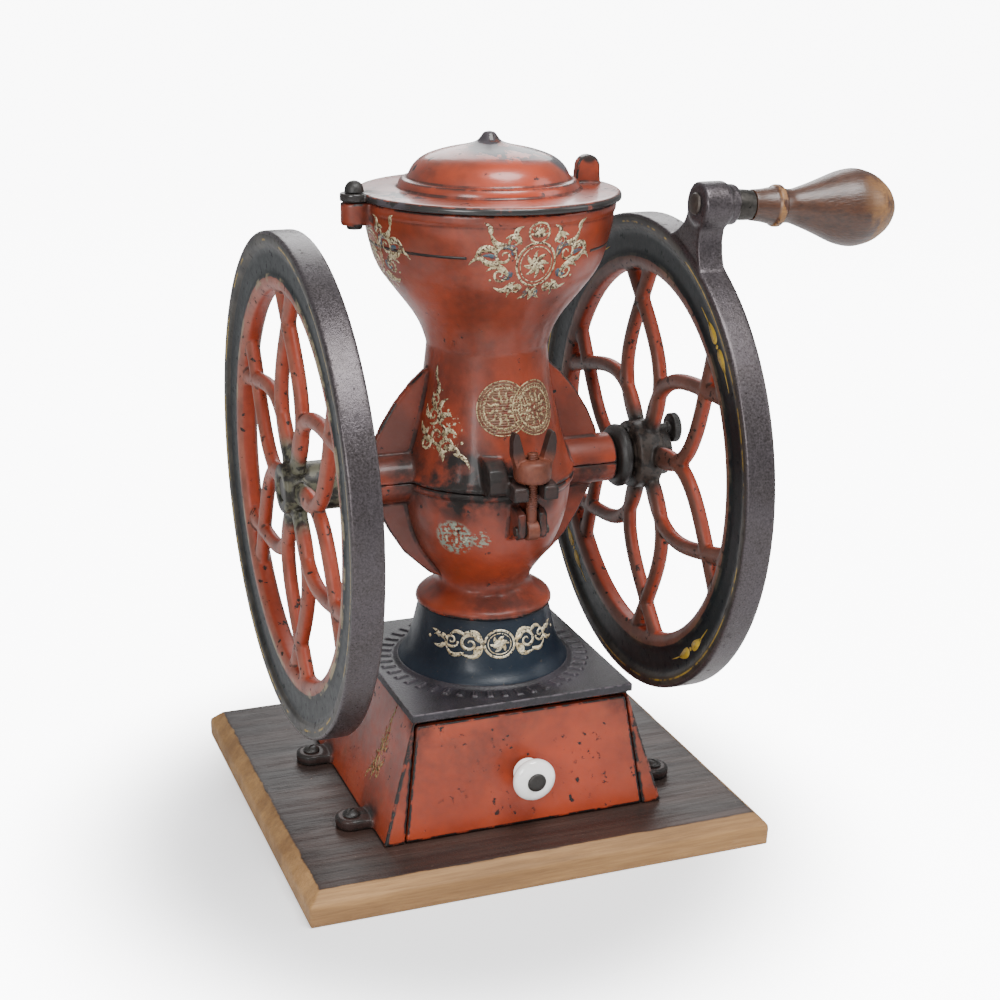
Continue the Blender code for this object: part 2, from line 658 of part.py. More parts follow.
def make_axle_group():
    cylinder(
        "axle", AXLE_RADIUS, (AXLE_LEFT_END, 0, AXLE_HEIGHT), AXLE_RIGHT_END - AXLE_LEFT_END,
        X_AXIS, bare_iron,
    )
    axle = bpy.data.objects["axle"]
    left = make_wheel("left_wheel", LEFT_WHEEL_X, LEFT_PHASE, (-0.1177, -0.0800, 0.0136))
    right = make_wheel(
        "right_wheel", RIGHT_WHEEL_X, RIGHT_PHASE, (0.0860, 0.1110, 0.0136), make_crank_lug()
    )
    flange = cylinder("hub_flange", 0.0195, (0.0875, 0, AXLE_HEIGHT), 0.0150, X_AXIS)
    join(right, flange)
    screw_height = AXLE_HEIGHT + 0.0135
    cut(
        right,
        cylinder("right_wheel_rebore", AXLE_RADIUS + GAP, (0.05, 0, AXLE_HEIGHT), 0.10, X_AXIS),
        cylinder("crank_pin_hole", CRANK_PIN_RADIUS + GAP, crank_place(-0.03), 0.06, CRANK_TURN, segments=24),
        cylinder("adjusting_hole", 0.0030 + GAP, (0.080, 0, screw_height), 0.04, X_AXIS, segments=20),
    )
    turned("adjusting_collar", [
        (0.0152, 0.0086), (0.0178, 0.0064), (0.0182, 0.0036), (0.0160, 0.0008), (0.0110, 0.0),
        (AXLE_RADIUS + GAP, 0.0), (AXLE_RADIUS + GAP, 0.0050), (0.0120, 0.0056),
    ], black_iron, turn=X_AXIS, location=(0.0765, 0, AXLE_HEIGHT), closed=True)
    turned("adjusting_screw", [
        (0.0, 0.0330), (0.0076, 0.0330), (0.0085, 0.0322), (0.0085, 0.0290), (0.0076, 0.0282),
        (0.0036, 0.0282), (0.0036, 0.0264), (0.0030, 0.0260), (0.0030, 0.0006), (0.0, 0.0),
    ], black_iron, steps=24, turn=X_AXIS, location=(0.0854, 0, screw_height))
    for side, x, wheel in (("left", -0.0930, left), ("right", 0.1068, right)):
        cylinder(
            f"{side}_wheel_pin", 0.0019, (x, -0.0131, AXLE_HEIGHT), 0.0262,
            (-math.pi / 2, 0, 0), bare_iron, segments=16,
        )
        hole = cylinder(
            f"{side}_pin_hole", 0.0019 + GAP, (x, -0.0200, AXLE_HEIGHT), 0.0400,
            (-math.pi / 2, 0, 0), segments=16,
        )
        cut(wheel, hole)
        cut(axle, hole)


def make_crank():
    """Crank pin, ferrule and turned wooden grip, all on the crank pin's axis."""
    turned("crank_pin", [
        (0.0, 0.0965), (CRANK_PIN_RADIUS, 0.0960), (CRANK_PIN_RADIUS, -0.0105), (0.0058, -0.0105),
        (0.0050, -0.0118), (0.0, -0.0123),
    ], bare_iron, steps=20, turn=CRANK_TURN, location=crank_place(0))
    bore = CRANK_PIN_RADIUS + GAP
    turned("ferrule", [
        (0.0076, 0.0212), (0.0080, 0.0208), (0.0080, 0.0122), (0.0076, 0.0116),
        (bore, 0.0116), (bore, 0.0212),
    ], bare_iron, steps=28, turn=CRANK_TURN, location=crank_place(0), closed=True)
    grip = turned("handle_grip", [
        (0.0, 0.1070), (0.0130, 0.1010), (0.0185, 0.0930), (0.0210, 0.0830), (0.0196, 0.0740),
        (0.0125, 0.0560), (0.0087, 0.0440), (0.0112, 0.0375), (0.0112, 0.0350), (0.0084, 0.0270),
        (0.0080, 0.0215), (0.0, 0.0215),
    ], turned_wood, steps=28, turn=CRANK_TURN, location=crank_place(0))
    cut(grip, cylinder("grip_bore", bore, crank_place(0.010), 0.0880, CRANK_TURN, segments=24))


# ---------------------------------------------------------------- grinding parts


def make_grinder():
    turned("feed_worm", [
        (0.0092, 0.0), (0.0092, -0.0385), (AXLE_RADIUS + GAP, -0.0385), (AXLE_RADIUS + GAP, 0.0),
    ], bare_iron, steps=24, turn=X_AXIS, location=(0.0035, 0, AXLE_HEIGHT), closed=True)
    worm = bpy.data.objects["feed_worm"]
    turns, per_turn, pitch = 3.0, 10, 0.0110
    spiral = [
        (
            -0.0345 + pitch * step / per_turn,
            0.0108 * math.cos(2 * math.pi * step / per_turn),
            AXLE_HEIGHT + 0.0108 * math.sin(2 * math.pi * step / per_turn),
        )
        for step in range(int(turns * per_turn) + 1)
    ]
    join(worm, rod("worm_thread", spiral, 0.0024))
    turned("fixed_burr", [
        (0.0355, 0.0052), (0.0360, 0.0048), (0.0360, 0.0), (0.0158, 0.0), (0.0158, 0.0040), (0.0180, 0.0052),
    ], bare_iron, turn=X_AXIS, location=(PARTITION[1] + GAP, 0, AXLE_HEIGHT), closed=True)
    turned("rotating_burr", [
        (0.0115, 0.0120), (0.0115, 0.0056), (0.0335, 0.0052), (0.0340, 0.0048), (0.0340, 0.0),
        (AXLE_RADIUS + GAP, 0.0), (AXLE_RADIUS + GAP, 0.0120),
    ], bare_iron, turn=X_AXIS, location=(0.0112, 0, AXLE_HEIGHT), closed=True)
    cylinder("burr_pin", 0.0016, (0.0198, 0, AXLE_HEIGHT - 0.0113), 0.0226, material=bare_iron, segments=14)
    pin_hole = cylinder("burr_pin_hole", 0.0016 + GAP, (0.0198, 0, AXLE_HEIGHT - 0.02), 0.04, segments=14)
    cut(bpy.data.objects["rotating_burr"], pin_hole)
    cut(bpy.data.objects["axle"], pin_hole)
    for side, height, case in (("upper", 0.0270, "hopper_case"), ("lower", -0.0270, "lower_case")):
        place = (PARTITION[0] - 0.0030, 0, AXLE_HEIGHT + height)
        screw = cylinder(f"burr_screw_{side}", 0.0016, place, 0.0118, X_AXIS, black_iron, segments=14)
        join(screw, cylinder(f"burr_head_{side}", 0.0032, (place[0] - 0.0018, *place[1:]), 0.0024, X_AXIS, segments=14))
        hole = cylinder(f"burr_hole_{side}", 0.0016 + GAP, place, 0.0140, X_AXIS, segments=14)
        cut(bpy.data.objects["fixed_burr"], hole)
        cut(bpy.data.objects[case], hole)


# ---------------------------------------------------------------- clamp and rear hinge


def make_clamp():
    cylinder("clamp_pin", 0.0026, (CLAMP_X - 0.0095, CLAMP_Y, CLAMP_PIVOT_Z), 0.0190, X_AXIS, bare_iron, segments=20)
    cylinder("rear_hinge_pin", 0.0022, (-0.0130, 0.0560, 0.1985), 0.0260, X_AXIS, bare_iron, segments=20)
    eye_radius, eye_half = 0.0055, 0.0033
    bolt = cylinder("swing_bolt", BOLT_RADIUS, (CLAMP_X, CLAMP_Y, CLAMP_PIVOT_Z), 0.0460, material=bare_iron, segments=20)
    eye = cylinder("bolt_eye", eye_radius, (CLAMP_X - eye_half, CLAMP_Y, CLAMP_PIVOT_Z), 2 * eye_half, X_AXIS, segments=24)
    join(bolt, eye)
    cut(bolt, cylinder("eye_hole", 0.0026 + GAP, (-0.02, CLAMP_Y, CLAMP_PIVOT_Z), 0.05, X_AXIS, segments=20))
    seat = CLAMP_PIVOT_Z + NUT_SEAT
    nut = turned("wing_nut", [
        (0.0066, 0.0125), (0.0096, 0.0115), (0.0104, 0.0080), (0.0100, 0.0020), (0.0088, 0.0),
        (BOLT_RADIUS + GAP, 0.0), (BOLT_RADIUS + GAP, 0.0125),
    ], bare_iron, steps=28, location=(CLAMP_X, CLAMP_Y, seat), closed=True)
    for side in (-1, 1):
        wing = plate(f"wing_{side}", [[
            (side * 0.0058, 0.0090), (side * 0.0098, 0.0080), (side * 0.0122, 0.0150), (side * 0.0124, 0.0230),
            (side * 0.0112, 0.0272), (side * 0.0090, 0.0268), (side * 0.0070, 0.0200), (side * 0.0052, 0.0130),
        ][::side]], 0.0062)
        wing.rotation_euler = Y_AXIS
        wing.location = (CLAMP_X, CLAMP_Y, seat)
        join(nut, wing)
    cut(nut, cylinder("nut_rebore", BOLT_RADIUS + GAP, (CLAMP_X, CLAMP_Y, seat - 0.01), 0.03, segments=28))


board_piece = make_board()
make_base(board_piece)
make_lower_case()
make_hopper_case()
make_lid()
make_drawer()
make_axle_group()
make_crank()
make_grinder()
make_clamp()

for piece in parts.objects:
    if piece.type == "MESH":
        piece.data.set_sharp_from_angle(angle=math.radians(35))
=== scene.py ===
import bmesh
import bpy
import math
import numpy as np
from mathutils import Matrix, Vector, noise


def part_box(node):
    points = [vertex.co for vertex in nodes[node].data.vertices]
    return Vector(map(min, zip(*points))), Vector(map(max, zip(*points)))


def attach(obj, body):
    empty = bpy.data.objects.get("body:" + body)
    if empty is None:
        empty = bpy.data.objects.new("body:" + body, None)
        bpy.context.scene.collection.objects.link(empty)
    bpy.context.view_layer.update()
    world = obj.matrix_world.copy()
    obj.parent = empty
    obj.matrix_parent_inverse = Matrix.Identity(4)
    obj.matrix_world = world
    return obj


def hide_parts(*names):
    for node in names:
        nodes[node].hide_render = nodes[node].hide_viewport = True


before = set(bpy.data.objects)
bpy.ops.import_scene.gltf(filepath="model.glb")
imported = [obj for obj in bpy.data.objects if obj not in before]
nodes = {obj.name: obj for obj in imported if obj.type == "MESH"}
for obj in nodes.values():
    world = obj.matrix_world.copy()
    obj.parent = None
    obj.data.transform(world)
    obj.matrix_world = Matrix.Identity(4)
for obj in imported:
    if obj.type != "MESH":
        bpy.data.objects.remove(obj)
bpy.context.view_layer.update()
axleHeight = 0.2051
print("frame loaded:", len(nodes), "nodes")


# camera, floor and light

view = {
    "place": (-0.328424, -0.860077, 0.490835), "yaw": 0.357692, "pitch": 0.360932, "roll": 0.010956,
    "lens": 61.845, "shift": (0.02792, 0.07130),
}


def makeCamera():
    yaw, pitch, roll = view["yaw"], view["pitch"], view["roll"]
    forward = Vector((math.sin(yaw) * math.cos(pitch), math.cos(yaw) * math.cos(pitch), -math.sin(pitch)))
    right = Vector((math.cos(yaw), -math.sin(yaw), 0))
    up = right.cross(forward)
    side = math.cos(roll) * right + math.sin(roll) * up
    top = math.cos(roll) * up - math.sin(roll) * right
    camera = bpy.data.objects.new("camera", bpy.data.cameras.new("camera"))
    bpy.context.scene.collection.objects.link(camera)
    camera.matrix_world = Matrix.Translation(view["place"]) @ Matrix((side, top,
        -forward)).transposed().to_4x4()
    camera.data.sensor_width = 36
    camera.data.lens = view["lens"]
    camera.data.shift_x, camera.data.shift_y = view["shift"]
    camera.data.clip_start, camera.data.clip_end = 0.01, 100
    bpy.context.scene.camera = camera


def hexColour(text):
    values = [int(text[i:i + 2], 16) / 255 for i in (1, 3, 5)]
    return (*[v / 12.92 if v <= 0.04045 else ((v + 0.055) / 1.055) ** 2.4 for v in values], 1.0)


def addNode(tree, kind, inputs=None, output=0, **settings):
    node = tree.nodes.new("ShaderNode" + kind)
    for name, value in settings.items():
        setattr(node, name, value)
    for key, value in (inputs or {}).items():
        if isinstance(value, bpy.types.NodeSocket):
            tree.links.new(value, node.inputs[key])
        else:
            node.inputs[key].default_value = value
    return node.outputs[output] if len(node.outputs) else node


studio = {
    "floorColour": "#E9E9EA", "floorGlow": 9.5, "shade": 0.08, "backdropGlow": 15.0, "fill": 0.40,
    "shadeCentre": (-0.035, -0.035, 0.0), "shadeReach": (0.120, 0.290),  # painted shadow: the floor's camera-only glow is dimmed round the board
    "softboxes": [  # name, place, size in metres, watts
        ("softboxTop", (0.25, -0.75, 1.8), 1.0, 42.0),
        ("softboxLeft", (-1.4, -1.4, 0.9), 0.9, 30.0),
        ("softboxRight", (1.6, -0.8, 1.0), 1.0, 9.0),
        ("softboxBack", (0.6, 1.6, 1.2), 1.2, 16.0),
    ],
}


def makeStudio():
    scene = bpy.context.scene
    world = bpy.data.worlds.new("paleRoom")
    scene.world = world
    world.use_nodes = True
    tree = world.node_tree
    tree.nodes.clear()
    straight = addNode(tree, "LightPath", output=0)
    soft = addNode(tree, "Background", {"Color": hexColour("#F4F6F8"), "Strength": studio["fill"]})
    seen = addNode(tree, "Background", {"Color": hexColour("#F9F9FA"), "Strength": studio["backdropGlow"]})
    addNode(tree, "OutputWorld", {0: addNode(tree, "MixShader", {0: straight, 1: soft, 2: seen})})
    mesh = bpy.data.meshes.new("floor")
    mesh.from_pydata([(-30, -30, 0), (30, -30, 0), (30, 30, 0), (-30, 30, 0)], [], [(0, 1, 2, 3)])
    floor = bpy.data.objects.new("floor", mesh)
    scene.collection.objects.link(floor)
    paper = bpy.data.materials.new("palePaperFloor")
    paper.use_nodes = True
    tree = paper.node_tree
    tree.nodes.clear()
    straight = addNode(tree, "LightPath", output=0)
    matt = addNode(tree, "BsdfDiffuse", {"Color": hexColour(studio["floorColour"])})
    # painted shadow: the glow the camera sees falls off near the board, standing in for its contact shadow
    away = addNode(tree, "VectorMath", {0: addNode(tree, "TexCoord", output=3), 1: studio["shadeCentre"]},
        output=1, operation="DISTANCE")
    near, far = studio["shadeReach"]
    lift = addNode(tree, "MapRange", {
        0: away, 1: near, 2: far, 3: studio["shade"] * studio["floorGlow"], 4: studio["floorGlow"],
    }, interpolation_type="SMOOTHERSTEP")
    glow = addNode(tree, "Emission", {"Color": hexColour("#FBFBFC"), "Strength": lift})
    both = addNode(tree, "AddShader", {0: matt, 1: glow})
    addNode(tree, "OutputMaterial", {0: addNode(tree, "MixShader", {0: straight, 1: matt, 2: both})})
    mesh.materials.append(paper)
    for name, spot, size, watts in studio["softboxes"]:
        light = bpy.data.lights.new(name, "AREA")
        light.shape, light.size, light.energy = "DISK", size, watts
        lamp = bpy.data.objects.new(name, light)
        scene.collection.objects.link(lamp)
        lamp.location = spot
        lamp.rotation_euler = (Vector((0, 0, 0.2)) - Vector(spot)).to_track_quat("-Z", "Y").to_euler()


makeCamera()
makeStudio()
print("camera, floor and lights made")


# shapes: every shape is (points, faces) in metres, in the frame of the mill

def joined(*shapes):
    points, faces, count = [], [], 0
    for some, around in shapes:
        points.append(np.asarray(some, float))
        faces += [tuple(i + count for i in face) for face in around]
        count += len(some)
    return np.concatenate(points), faces


usualRounding = 0.0006  # metres, for a corner that gives none


def softened(profile, steps=5):  # rounds each corner by its third value
    rounded, count = [], len(profile)
    corners = [np.array(corner[:2], float) for corner in profile]
    for i, corner in enumerate(corners):
        reach = profile[i][2] if len(profile[i]) > 2 else usualRounding
        before, after = corners[i - 1] - corner, corners[(i + 1) % count] - corner
        if (corner[0] < 1e-6) or reach <= 0:
            rounded.append(tuple(corner))
            continue
        first = corner + before * min(0.5, reach / max(np.linalg.norm(before), 1e-9))
        last = corner + after * min(0.5, reach / max(np.linalg.norm(after), 1e-9))
        for share in np.linspace(0, 1, steps):
            rest = 1 - share
            rounded.append(tuple(rest ** 2 * first + 2 * share * rest * corner + share ** 2 * last))
    return rounded


def dense(profile, step):  # adds points along straight stretches, for an even mesh
    filled = []
    for first, second in zip(profile, profile[1:] + profile[:1]):
        first, second = np.array(first[:2]), np.array(second[:2])
        count = max(1, int(np.linalg.norm(second - first) / step)) if max(first[0], second[0]) > 1e-6 else 1
        filled += [tuple(first + (second - first) * i / count) for i in range(count)]
    return filled


def lathe(profile, segments=128, axis=(0, 0, 1), origin=(0, 0, 0)):
    profile = np.array([corner[:2] for corner in profile])
    angles = np.linspace(0, 2 * np.pi, segments, endpoint=False)
    points = np.zeros((len(profile), segments, 3))
    points[..., 0] = profile[:, :1] * np.cos(angles)
    points[..., 1] = profile[:, :1] * np.sin(angles)
    points[..., 2] = profile[:, 1:]
    turn = np.array(Vector(axis).to_track_quat("Z", "Y").to_matrix())
    points = points.reshape(-1, 3) @ turn.T + np.array(origin)
    faces = []
    for i in range(len(profile)):
        j = (i + 1) % len(profile)
        if max(profile[i, 0], profile[j, 0]) < 1e-7:
            continue
        for a in range(segments):
            b = (a + 1) % segments
            faces.append((i * segments + a, i * segments + b, j * segments + b, j * segments + a))
    return points, faces


def brick(low, high):
    points = [(x, y, z) for x in (low[0], high[0]) for y in (low[1], high[1]) for z in (low[2], high[2])]
    return points, [(0, 1, 3, 2), (4, 6, 7, 5), (0, 4, 5, 1), (2, 3, 7, 6), (0, 2, 6, 4), (1, 5, 7, 3)]


def slab(outline, low, high, toWorld):
    count = len(outline)
    points = [toWorld(u, v, low) for u, v in outline] + [toWorld(u, v, high) for u, v in outline]
    faces = [tuple(range(count))[::-1], tuple(range(count, 2 * count))]
    faces += [(i, (i + 1) % count, count + (i + 1) % count, count + i) for i in range(count)]
    return points, faces


def newPiece(name, shape, clean=True):
    mesh = bpy.data.meshes.new(name)
    mesh.from_pydata([tuple(p) for p in shape[0]], [], shape[1])
    if clean:
        bm = bmesh.new()
        bm.from_mesh(mesh)
        bmesh.ops.remove_doubles(bm, verts=bm.verts, dist=2e-6)
        bmesh.ops.recalc_face_normals(bm, faces=bm.faces)
        bm.to_mesh(mesh)
        bm.free()
    piece = bpy.data.objects.new(name, mesh)
    bpy.context.scene.collection.objects.link(piece)
    mesh.shade_smooth()
    return piece


def settle(piece):
    graph = bpy.context.evaluated_depsgraph_get()
    mesh = bpy.data.meshes.new_from_object(piece.evaluated_get(graph))
    piece.modifiers.clear()
    piece.data = mesh
    return piece


def castPiece(name, shape, voxelMm, smoothing=3):
    piece = newPiece(name, shape)
    fuse = piece.modifiers.new("fuse", "REMESH")
    fuse.mode, fuse.voxel_size, fuse.use_smooth_shade = "VOXEL", voxelMm / 1000, True
    ease = piece.modifiers.new("ease", "SMOOTH")
    ease.factor, ease.iterations = 0.5, smoothing
    settle(piece)
    markRidges(piece)
    print(" ", name, len(piece.data.polygons), "faces")
    return piece


def markRidges(piece):  # stores how far each point stands out, for wear and dirt
    mesh = piece.data
    count = len(mesh.vertices)
    points = np.empty(count * 3)
    mesh.vertices.foreach_get("co", points)
    points = points.reshape(-1, 3)
    edges = np.empty(len(mesh.edges) * 2, np.int64)
    mesh.edges.foreach_get("vertices", edges)
    a, b = edges.reshape(-1, 2).T
    degree = np.maximum(np.bincount(a, minlength=count) + np.bincount(b, minlength=count), 1)

    def spread(values):
        return np.bincount(a, values[b], count) + np.bincount(b, values[a], count)

    normals = np.empty(count * 3, np.float32)
    mesh.vertices.foreach_get("normal", normals)
    normals = normals.reshape(-1, 3)
    mean = np.stack([spread(points[:, i]) for i in range(3)], 1) / degree[:, None]
    length = np.linalg.norm(points[a] - points[b], axis=1)
    size = (np.bincount(a, length, count) + np.bincount(b, length, count)) / degree
    ridge = -2 * ((mean - points) * normals).sum(1) / np.maximum(size, 1e-7) ** 2 * 0.001
    for _ in range(2):  # evened out twice
        ridge = 0.4 * ridge + 0.6 * spread(ridge) / degree
    mesh.attributes.new("ridge", "FLOAT", "POINT").data.foreach_set("value", ridge.astype(np.float32))


def place(piece, body, slot, finish, *stoodFor):
    piece.data.materials.clear()
    piece.data.materials.append(finish)
    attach(piece, body)
    if stoodFor:
        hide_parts(*stoodFor)
    return piece


# finishes

softStep = {"interpolation_type": "SMOOTHSTEP"}


def startFinish(name, coat=0.0, coatRoughness=0.2, metallic=0.0, specular=0.5):
    finish = bpy.data.materials.new(name)
    finish.use_nodes = True
    tree = finish.node_tree
    tree.nodes.clear()
    shader = tree.nodes.new("ShaderNodeBsdfPrincipled")
    shader.inputs["Metallic"].default_value = metallic
    shader.inputs["IOR"].default_value = 1.5
    shader.inputs["Specular IOR Level"].default_value = specular
    shader.inputs["Coat Weight"].default_value = coat
    shader.inputs["Coat Roughness"].default_value = coatRoughness
    addNode(tree, "OutputMaterial", {0: shader.outputs[0]})
    return finish, tree, shader, addNode(tree, "TexCoord", output=3)


def endFinish(tree, shader, colour, roughness, height=None, depthMm=0.1, metallic=None):
    tree.links.new(colour, shader.inputs["Base Color"])
    tree.links.new(roughness, shader.inputs["Roughness"])
    if metallic is not None:
        tree.links.new(metallic, shader.inputs["Metallic"])
    if height is not None:
        bump = addNode(tree, "Bump", {"Strength": 1.0, "Distance": depthMm / 1000, "Height": height})
        tree.links.new(bump, shader.inputs["Normal"])


def patches(tree, spot, sizeMm, low, high, seed=0.0, detail=4.0, stretch=None):
    if stretch:
        spot = addNode(tree, "VectorMath", {0: spot, 1: stretch}, operation="MULTIPLY")
    cloud = addNode(tree, "TexNoise", {
        "Vector": spot, "W": seed, "Scale": 1000 / sizeMm, "Detail": detail, "Roughness": 0.6,
    }, noise_dimensions="4D")
    return addNode(tree, "MapRange", {0: cloud, 1: low, 2: high}, **softStep)


def allOf(tree, first, *others):
    for other in others:
        first = addNode(tree, "Math", {0: first, 1: other}, operation="MULTIPLY")
    return first


def anyOf(tree, first, *others):
    for other in others:
        first = addNode(tree, "Math", {0: first, 1: other}, operation="MAXIMUM")
    return first


def painted(tree, base, *layers):
    for cover, colour in layers:
        base = addNode(tree, "Mix", {0: cover, 6: base, 7: colour}, output=2, data_type="RGBA")
    return base


def levels(tree, base, *layers):
    for cover, value in layers:
        base = addNode(tree, "Mix", {0: cover, 2: base, 3: value}, data_type="FLOAT")
    return base


def around(tree, spot, centre, reachMm, core=0.35):
    away = addNode(tree, "VectorMath", {0: spot, 1: centre}, output=1, operation="DISTANCE")
    return addNode(tree, "MapRange", {0: away, 1: reachMm / 1000, 2: core * reachMm / 1000}, **softStep)


# Red enamel, brushed and stoved on grey cast iron. Age has browned it in soft clouds, chipped it to dark
# iron in spots and along edges, and left grime in its corners under a thin shine.
redEnamelLook = {
    "colour": "#8A3820", "bright": "#AC3B18", "brown": "#54261A", "pale": "#94583F", "iron": "#15110F",
    "grime": "#17110E", "cloudMm": 34.0, "mottleMm": 5.0, "orangePeelMm": 2.4,
}


def wornRedEnamel(name, grime=(), soot=(), bright=(), brown=(), remains=(), rim=None, worn=(), coat=0.2,
                 chips=0.635, chipMm=4.2, edge=(0.14, 0.34), paleAmount=0.35):
    look = redEnamelLook
    finish, tree, shader, spot = startFinish(name, coat=coat, coatRoughness=0.16, specular=0.42)
    ridge = addNode(tree, "Attribute", output=2, attribute_name="ridge")
    mottle = patches(tree, spot, look["mottleMm"], 0.3, 0.7, 1.3, 5)
    cloud = patches(tree, spot, look["cloudMm"], 0.38, 0.64, 2.1, 3)
    pale = patches(tree, spot, 21.0, 0.52, 0.72, 3.7, 6)
    colour = painted(tree, hexColour(look["colour"]),
                     (allOf(tree, cloud, 0.8), hexColour(look["brown"])),
                     (allOf(tree, mottle, 0.22), hexColour(look["bright"])),
                     (allOf(tree, pale, paleAmount * 0.5), hexColour(look["pale"])))
    # bright clouds give a brighter orange tone; the lid's one, on its front flange, is a painted highlight
    for clouds, tint in ((bright, look["bright"]), (brown, look["brown"])):
        for centre, reach, strength in clouds:
            cover = allOf(tree, around(tree, spot, centre, reach), strength)
            colour = painted(tree, colour, (cover, hexColour(tint)))
    chipped = allOf(tree, patches(tree, spot, chipMm, chips, chips + 0.03, 5.2, 6),
        patches(tree, spot, 30.0, 0.47, 0.56, 6.4, 2))  # chips come in groups
    rubbed = allOf(tree, addNode(tree, "MapRange", {0: ridge, 1: edge[0], 2: edge[1]}, **softStep),
        patches(tree, spot, 9.0, 0.40, 0.50, 7.1, 6))
    bare = anyOf(tree, chipped, rubbed)
    if rim:  # an outer edge rubbed almost bare, at this distance from the mill's axis
        flat = addNode(tree, "VectorMath", {0: spot, 1: (1, 1, 0)}, operation="MULTIPLY")
        outward = addNode(tree, "VectorMath", {0: flat}, output=1, operation="LENGTH")
        bare = anyOf(tree, bare, allOf(tree, addNode(tree, "MapRange",
            {0: outward, 1: rim - 0.0004, 2: rim}, **softStep),
            patches(tree, spot, 8.0, 0.30, 0.42, 6.9, 5)))
    crevice = allOf(tree, addNode(tree, "MapRange", {0: ridge, 1: -0.03, 2: -0.16}, **softStep),
        patches(tree, spot, 9.0, 0.25, 0.6, 8.3, 4))
    dirt = allOf(tree, crevice, 0.85)
    for centre, reach, strength in grime:  # hand grease and coffee dust round the fittings
        smear = allOf(tree, around(tree, spot, centre, reach),
            patches(tree, spot, 11.0, 0.30, 0.62, 9.9, 6), strength)
        dirt = anyOf(tree, dirt, smear)
    for centre, reach in soot:  # lugs and bosses that lost their paint long ago
        dirt = anyOf(tree, dirt, allOf(tree, around(tree, spot, centre, reach, 0.7), 0.94))
    colour = painted(tree, colour, (bare, hexColour(look["iron"])), (dirt, hexColour(look["grime"])))
    for centre, reach, threshold in worn:  # paint gone in broad patches, down to purple-grey iron
        gone = allOf(tree, around(tree, spot, centre, reach, 0.6),
            patches(tree, spot, 10.0, threshold, threshold + 0.03, 4.9, 7))
        wornTone = painted(tree, hexColour("#3E373C"), (mottle, hexColour("#2C272B")))
        colour = painted(tree, colour, (gone, wornTone))
        bare = anyOf(tree, bare, gone)
    for centre, reach, tint, threshold in remains:  # flakes left of an older film
        flake = allOf(tree, around(tree, spot, centre, reach, 0.75),
            patches(tree, spot, 2.0, threshold, threshold + 0.05, 4.4, 8))
        colour = painted(tree, colour, (flake, hexColour(tint)))
    rough = levels(tree, 0.36, (mottle, 0.44), (pale, 0.55), (bare, 0.62), (dirt, 0.72))
    peel = patches(tree, spot, look["orangePeelMm"], 0.2, 0.8, 3.3, 3)
    height = addNode(tree, "Math", {0: allOf(tree, peel, 0.22), 1: allOf(tree, bare, -1.0)},
        operation="ADD")
    endFinish(tree, shader, colour, rough, height, 0.16)
    return finish


# Blue-black enamel on cast iron: nearly black, a blue cast where it is thick, grey where it is rubbed.
def wornBlueBlackEnamel(name, colour="#091521", rub="#2E3436"):
    finish, tree, shader, spot = startFinish(name, coat=0.15, coatRoughness=0.2, specular=0.4)
    ridge = addNode(tree, "Attribute", output=2, attribute_name="ridge")
    cloud = patches(tree, spot, 24.0, 0.35, 0.68, 1.7, 5)
    specks = patches(tree, spot, 2.2, 0.64, 0.69, 3.9, 4)
    rubbed = allOf(tree, addNode(tree, "MapRange", {0: ridge, 1: 0.10, 2: 0.35}, **softStep),
        patches(tree, spot, 5.0, 0.38, 0.6, 5.1, 5))
    tone = painted(tree, hexColour(colour), (allOf(tree, cloud, 0.5), hexColour("#17202B")),
                   (specks, hexColour("#3A3733")), (allOf(tree, rubbed, 0.75), hexColour(rub)))
    rough = levels(tree, 0.38, (cloud, 0.5), (rubbed, 0.6))
    peel = patches(tree, spot, 2.0, 0.2, 0.8, 3.3, 3)
    endFinish(tree, shader, tone, rough, peel, 0.05)
    return finish


# Black japan on the rough top of a sand casting: satin, purple-brown where it has faded, with a sandy grain.
def blackJapan(name, colour="#17151A", faded="#37323A", grainMm=1.3, depthMm=0.14, roughness=0.46):
    finish, tree, shader, spot = startFinish(name, coat=0.12, coatRoughness=0.3)
    ridge = addNode(tree, "Attribute", output=2, attribute_name="ridge")
    cloud = patches(tree, spot, 26.0, 0.4, 0.66, 2.7, 5)
    grain = patches(tree, spot, grainMm, 0.25, 0.75, 4.1, 4)
    worn = allOf(tree, addNode(tree, "MapRange", {0: ridge, 1: 0.10, 2: 0.34}, **softStep),
        patches(tree, spot, 4.0, 0.4, 0.58, 5.9, 5))
    tone = painted(tree, hexColour(colour), (allOf(tree, cloud, 0.55), hexColour(faded)),
                   (allOf(tree, worn, 0.7), hexColour("#575056")))
    rough = levels(tree, roughness, (cloud, roughness + 0.12), (grain, roughness + 0.05), (worn, 0.5))
    endFinish(tree, shader, tone, rough, grain, depthMm)
    return finish


# Bare cast iron, handled for a century: grey-brown oxide with a dull polish and darker pits.
def handledIron(name, colour="#4A423C", dark="#262220", light="#6E665E", metallic=0.55, roughness=0.42,
    soot=()):
    finish, tree, shader, spot = startFinish(name, metallic=metallic)
    cloud = patches(tree, spot, 17.0, 0.32, 0.68, 1.1, 6)
    fine = patches(tree, spot, 1.8, 0.3, 0.75, 2.3, 5)
    pits = patches(tree, spot, 2.6, 0.62, 0.70, 6.1, 5)
    tone = painted(tree, hexColour(colour), (allOf(tree, cloud, 0.6), hexColour(dark)),
                   (allOf(tree, fine, 0.35), hexColour(light)), (pits, hexColour(dark)))
    for centre, reach in soot:
        tone = painted(tree, tone, (allOf(tree, around(tree, spot, centre, reach, 0.6), 0.9),
            hexColour("#191210")))
    rough = levels(tree, roughness, (fine, roughness + 0.12), (pits, 0.7))
    height = addNode(tree, "Math", {0: allOf(tree, fine, 0.4), 1: allOf(tree, pits, -1.0)}, operation="ADD")
    endFinish(tree, shader, tone, rough, height, 0.09)
    return finish


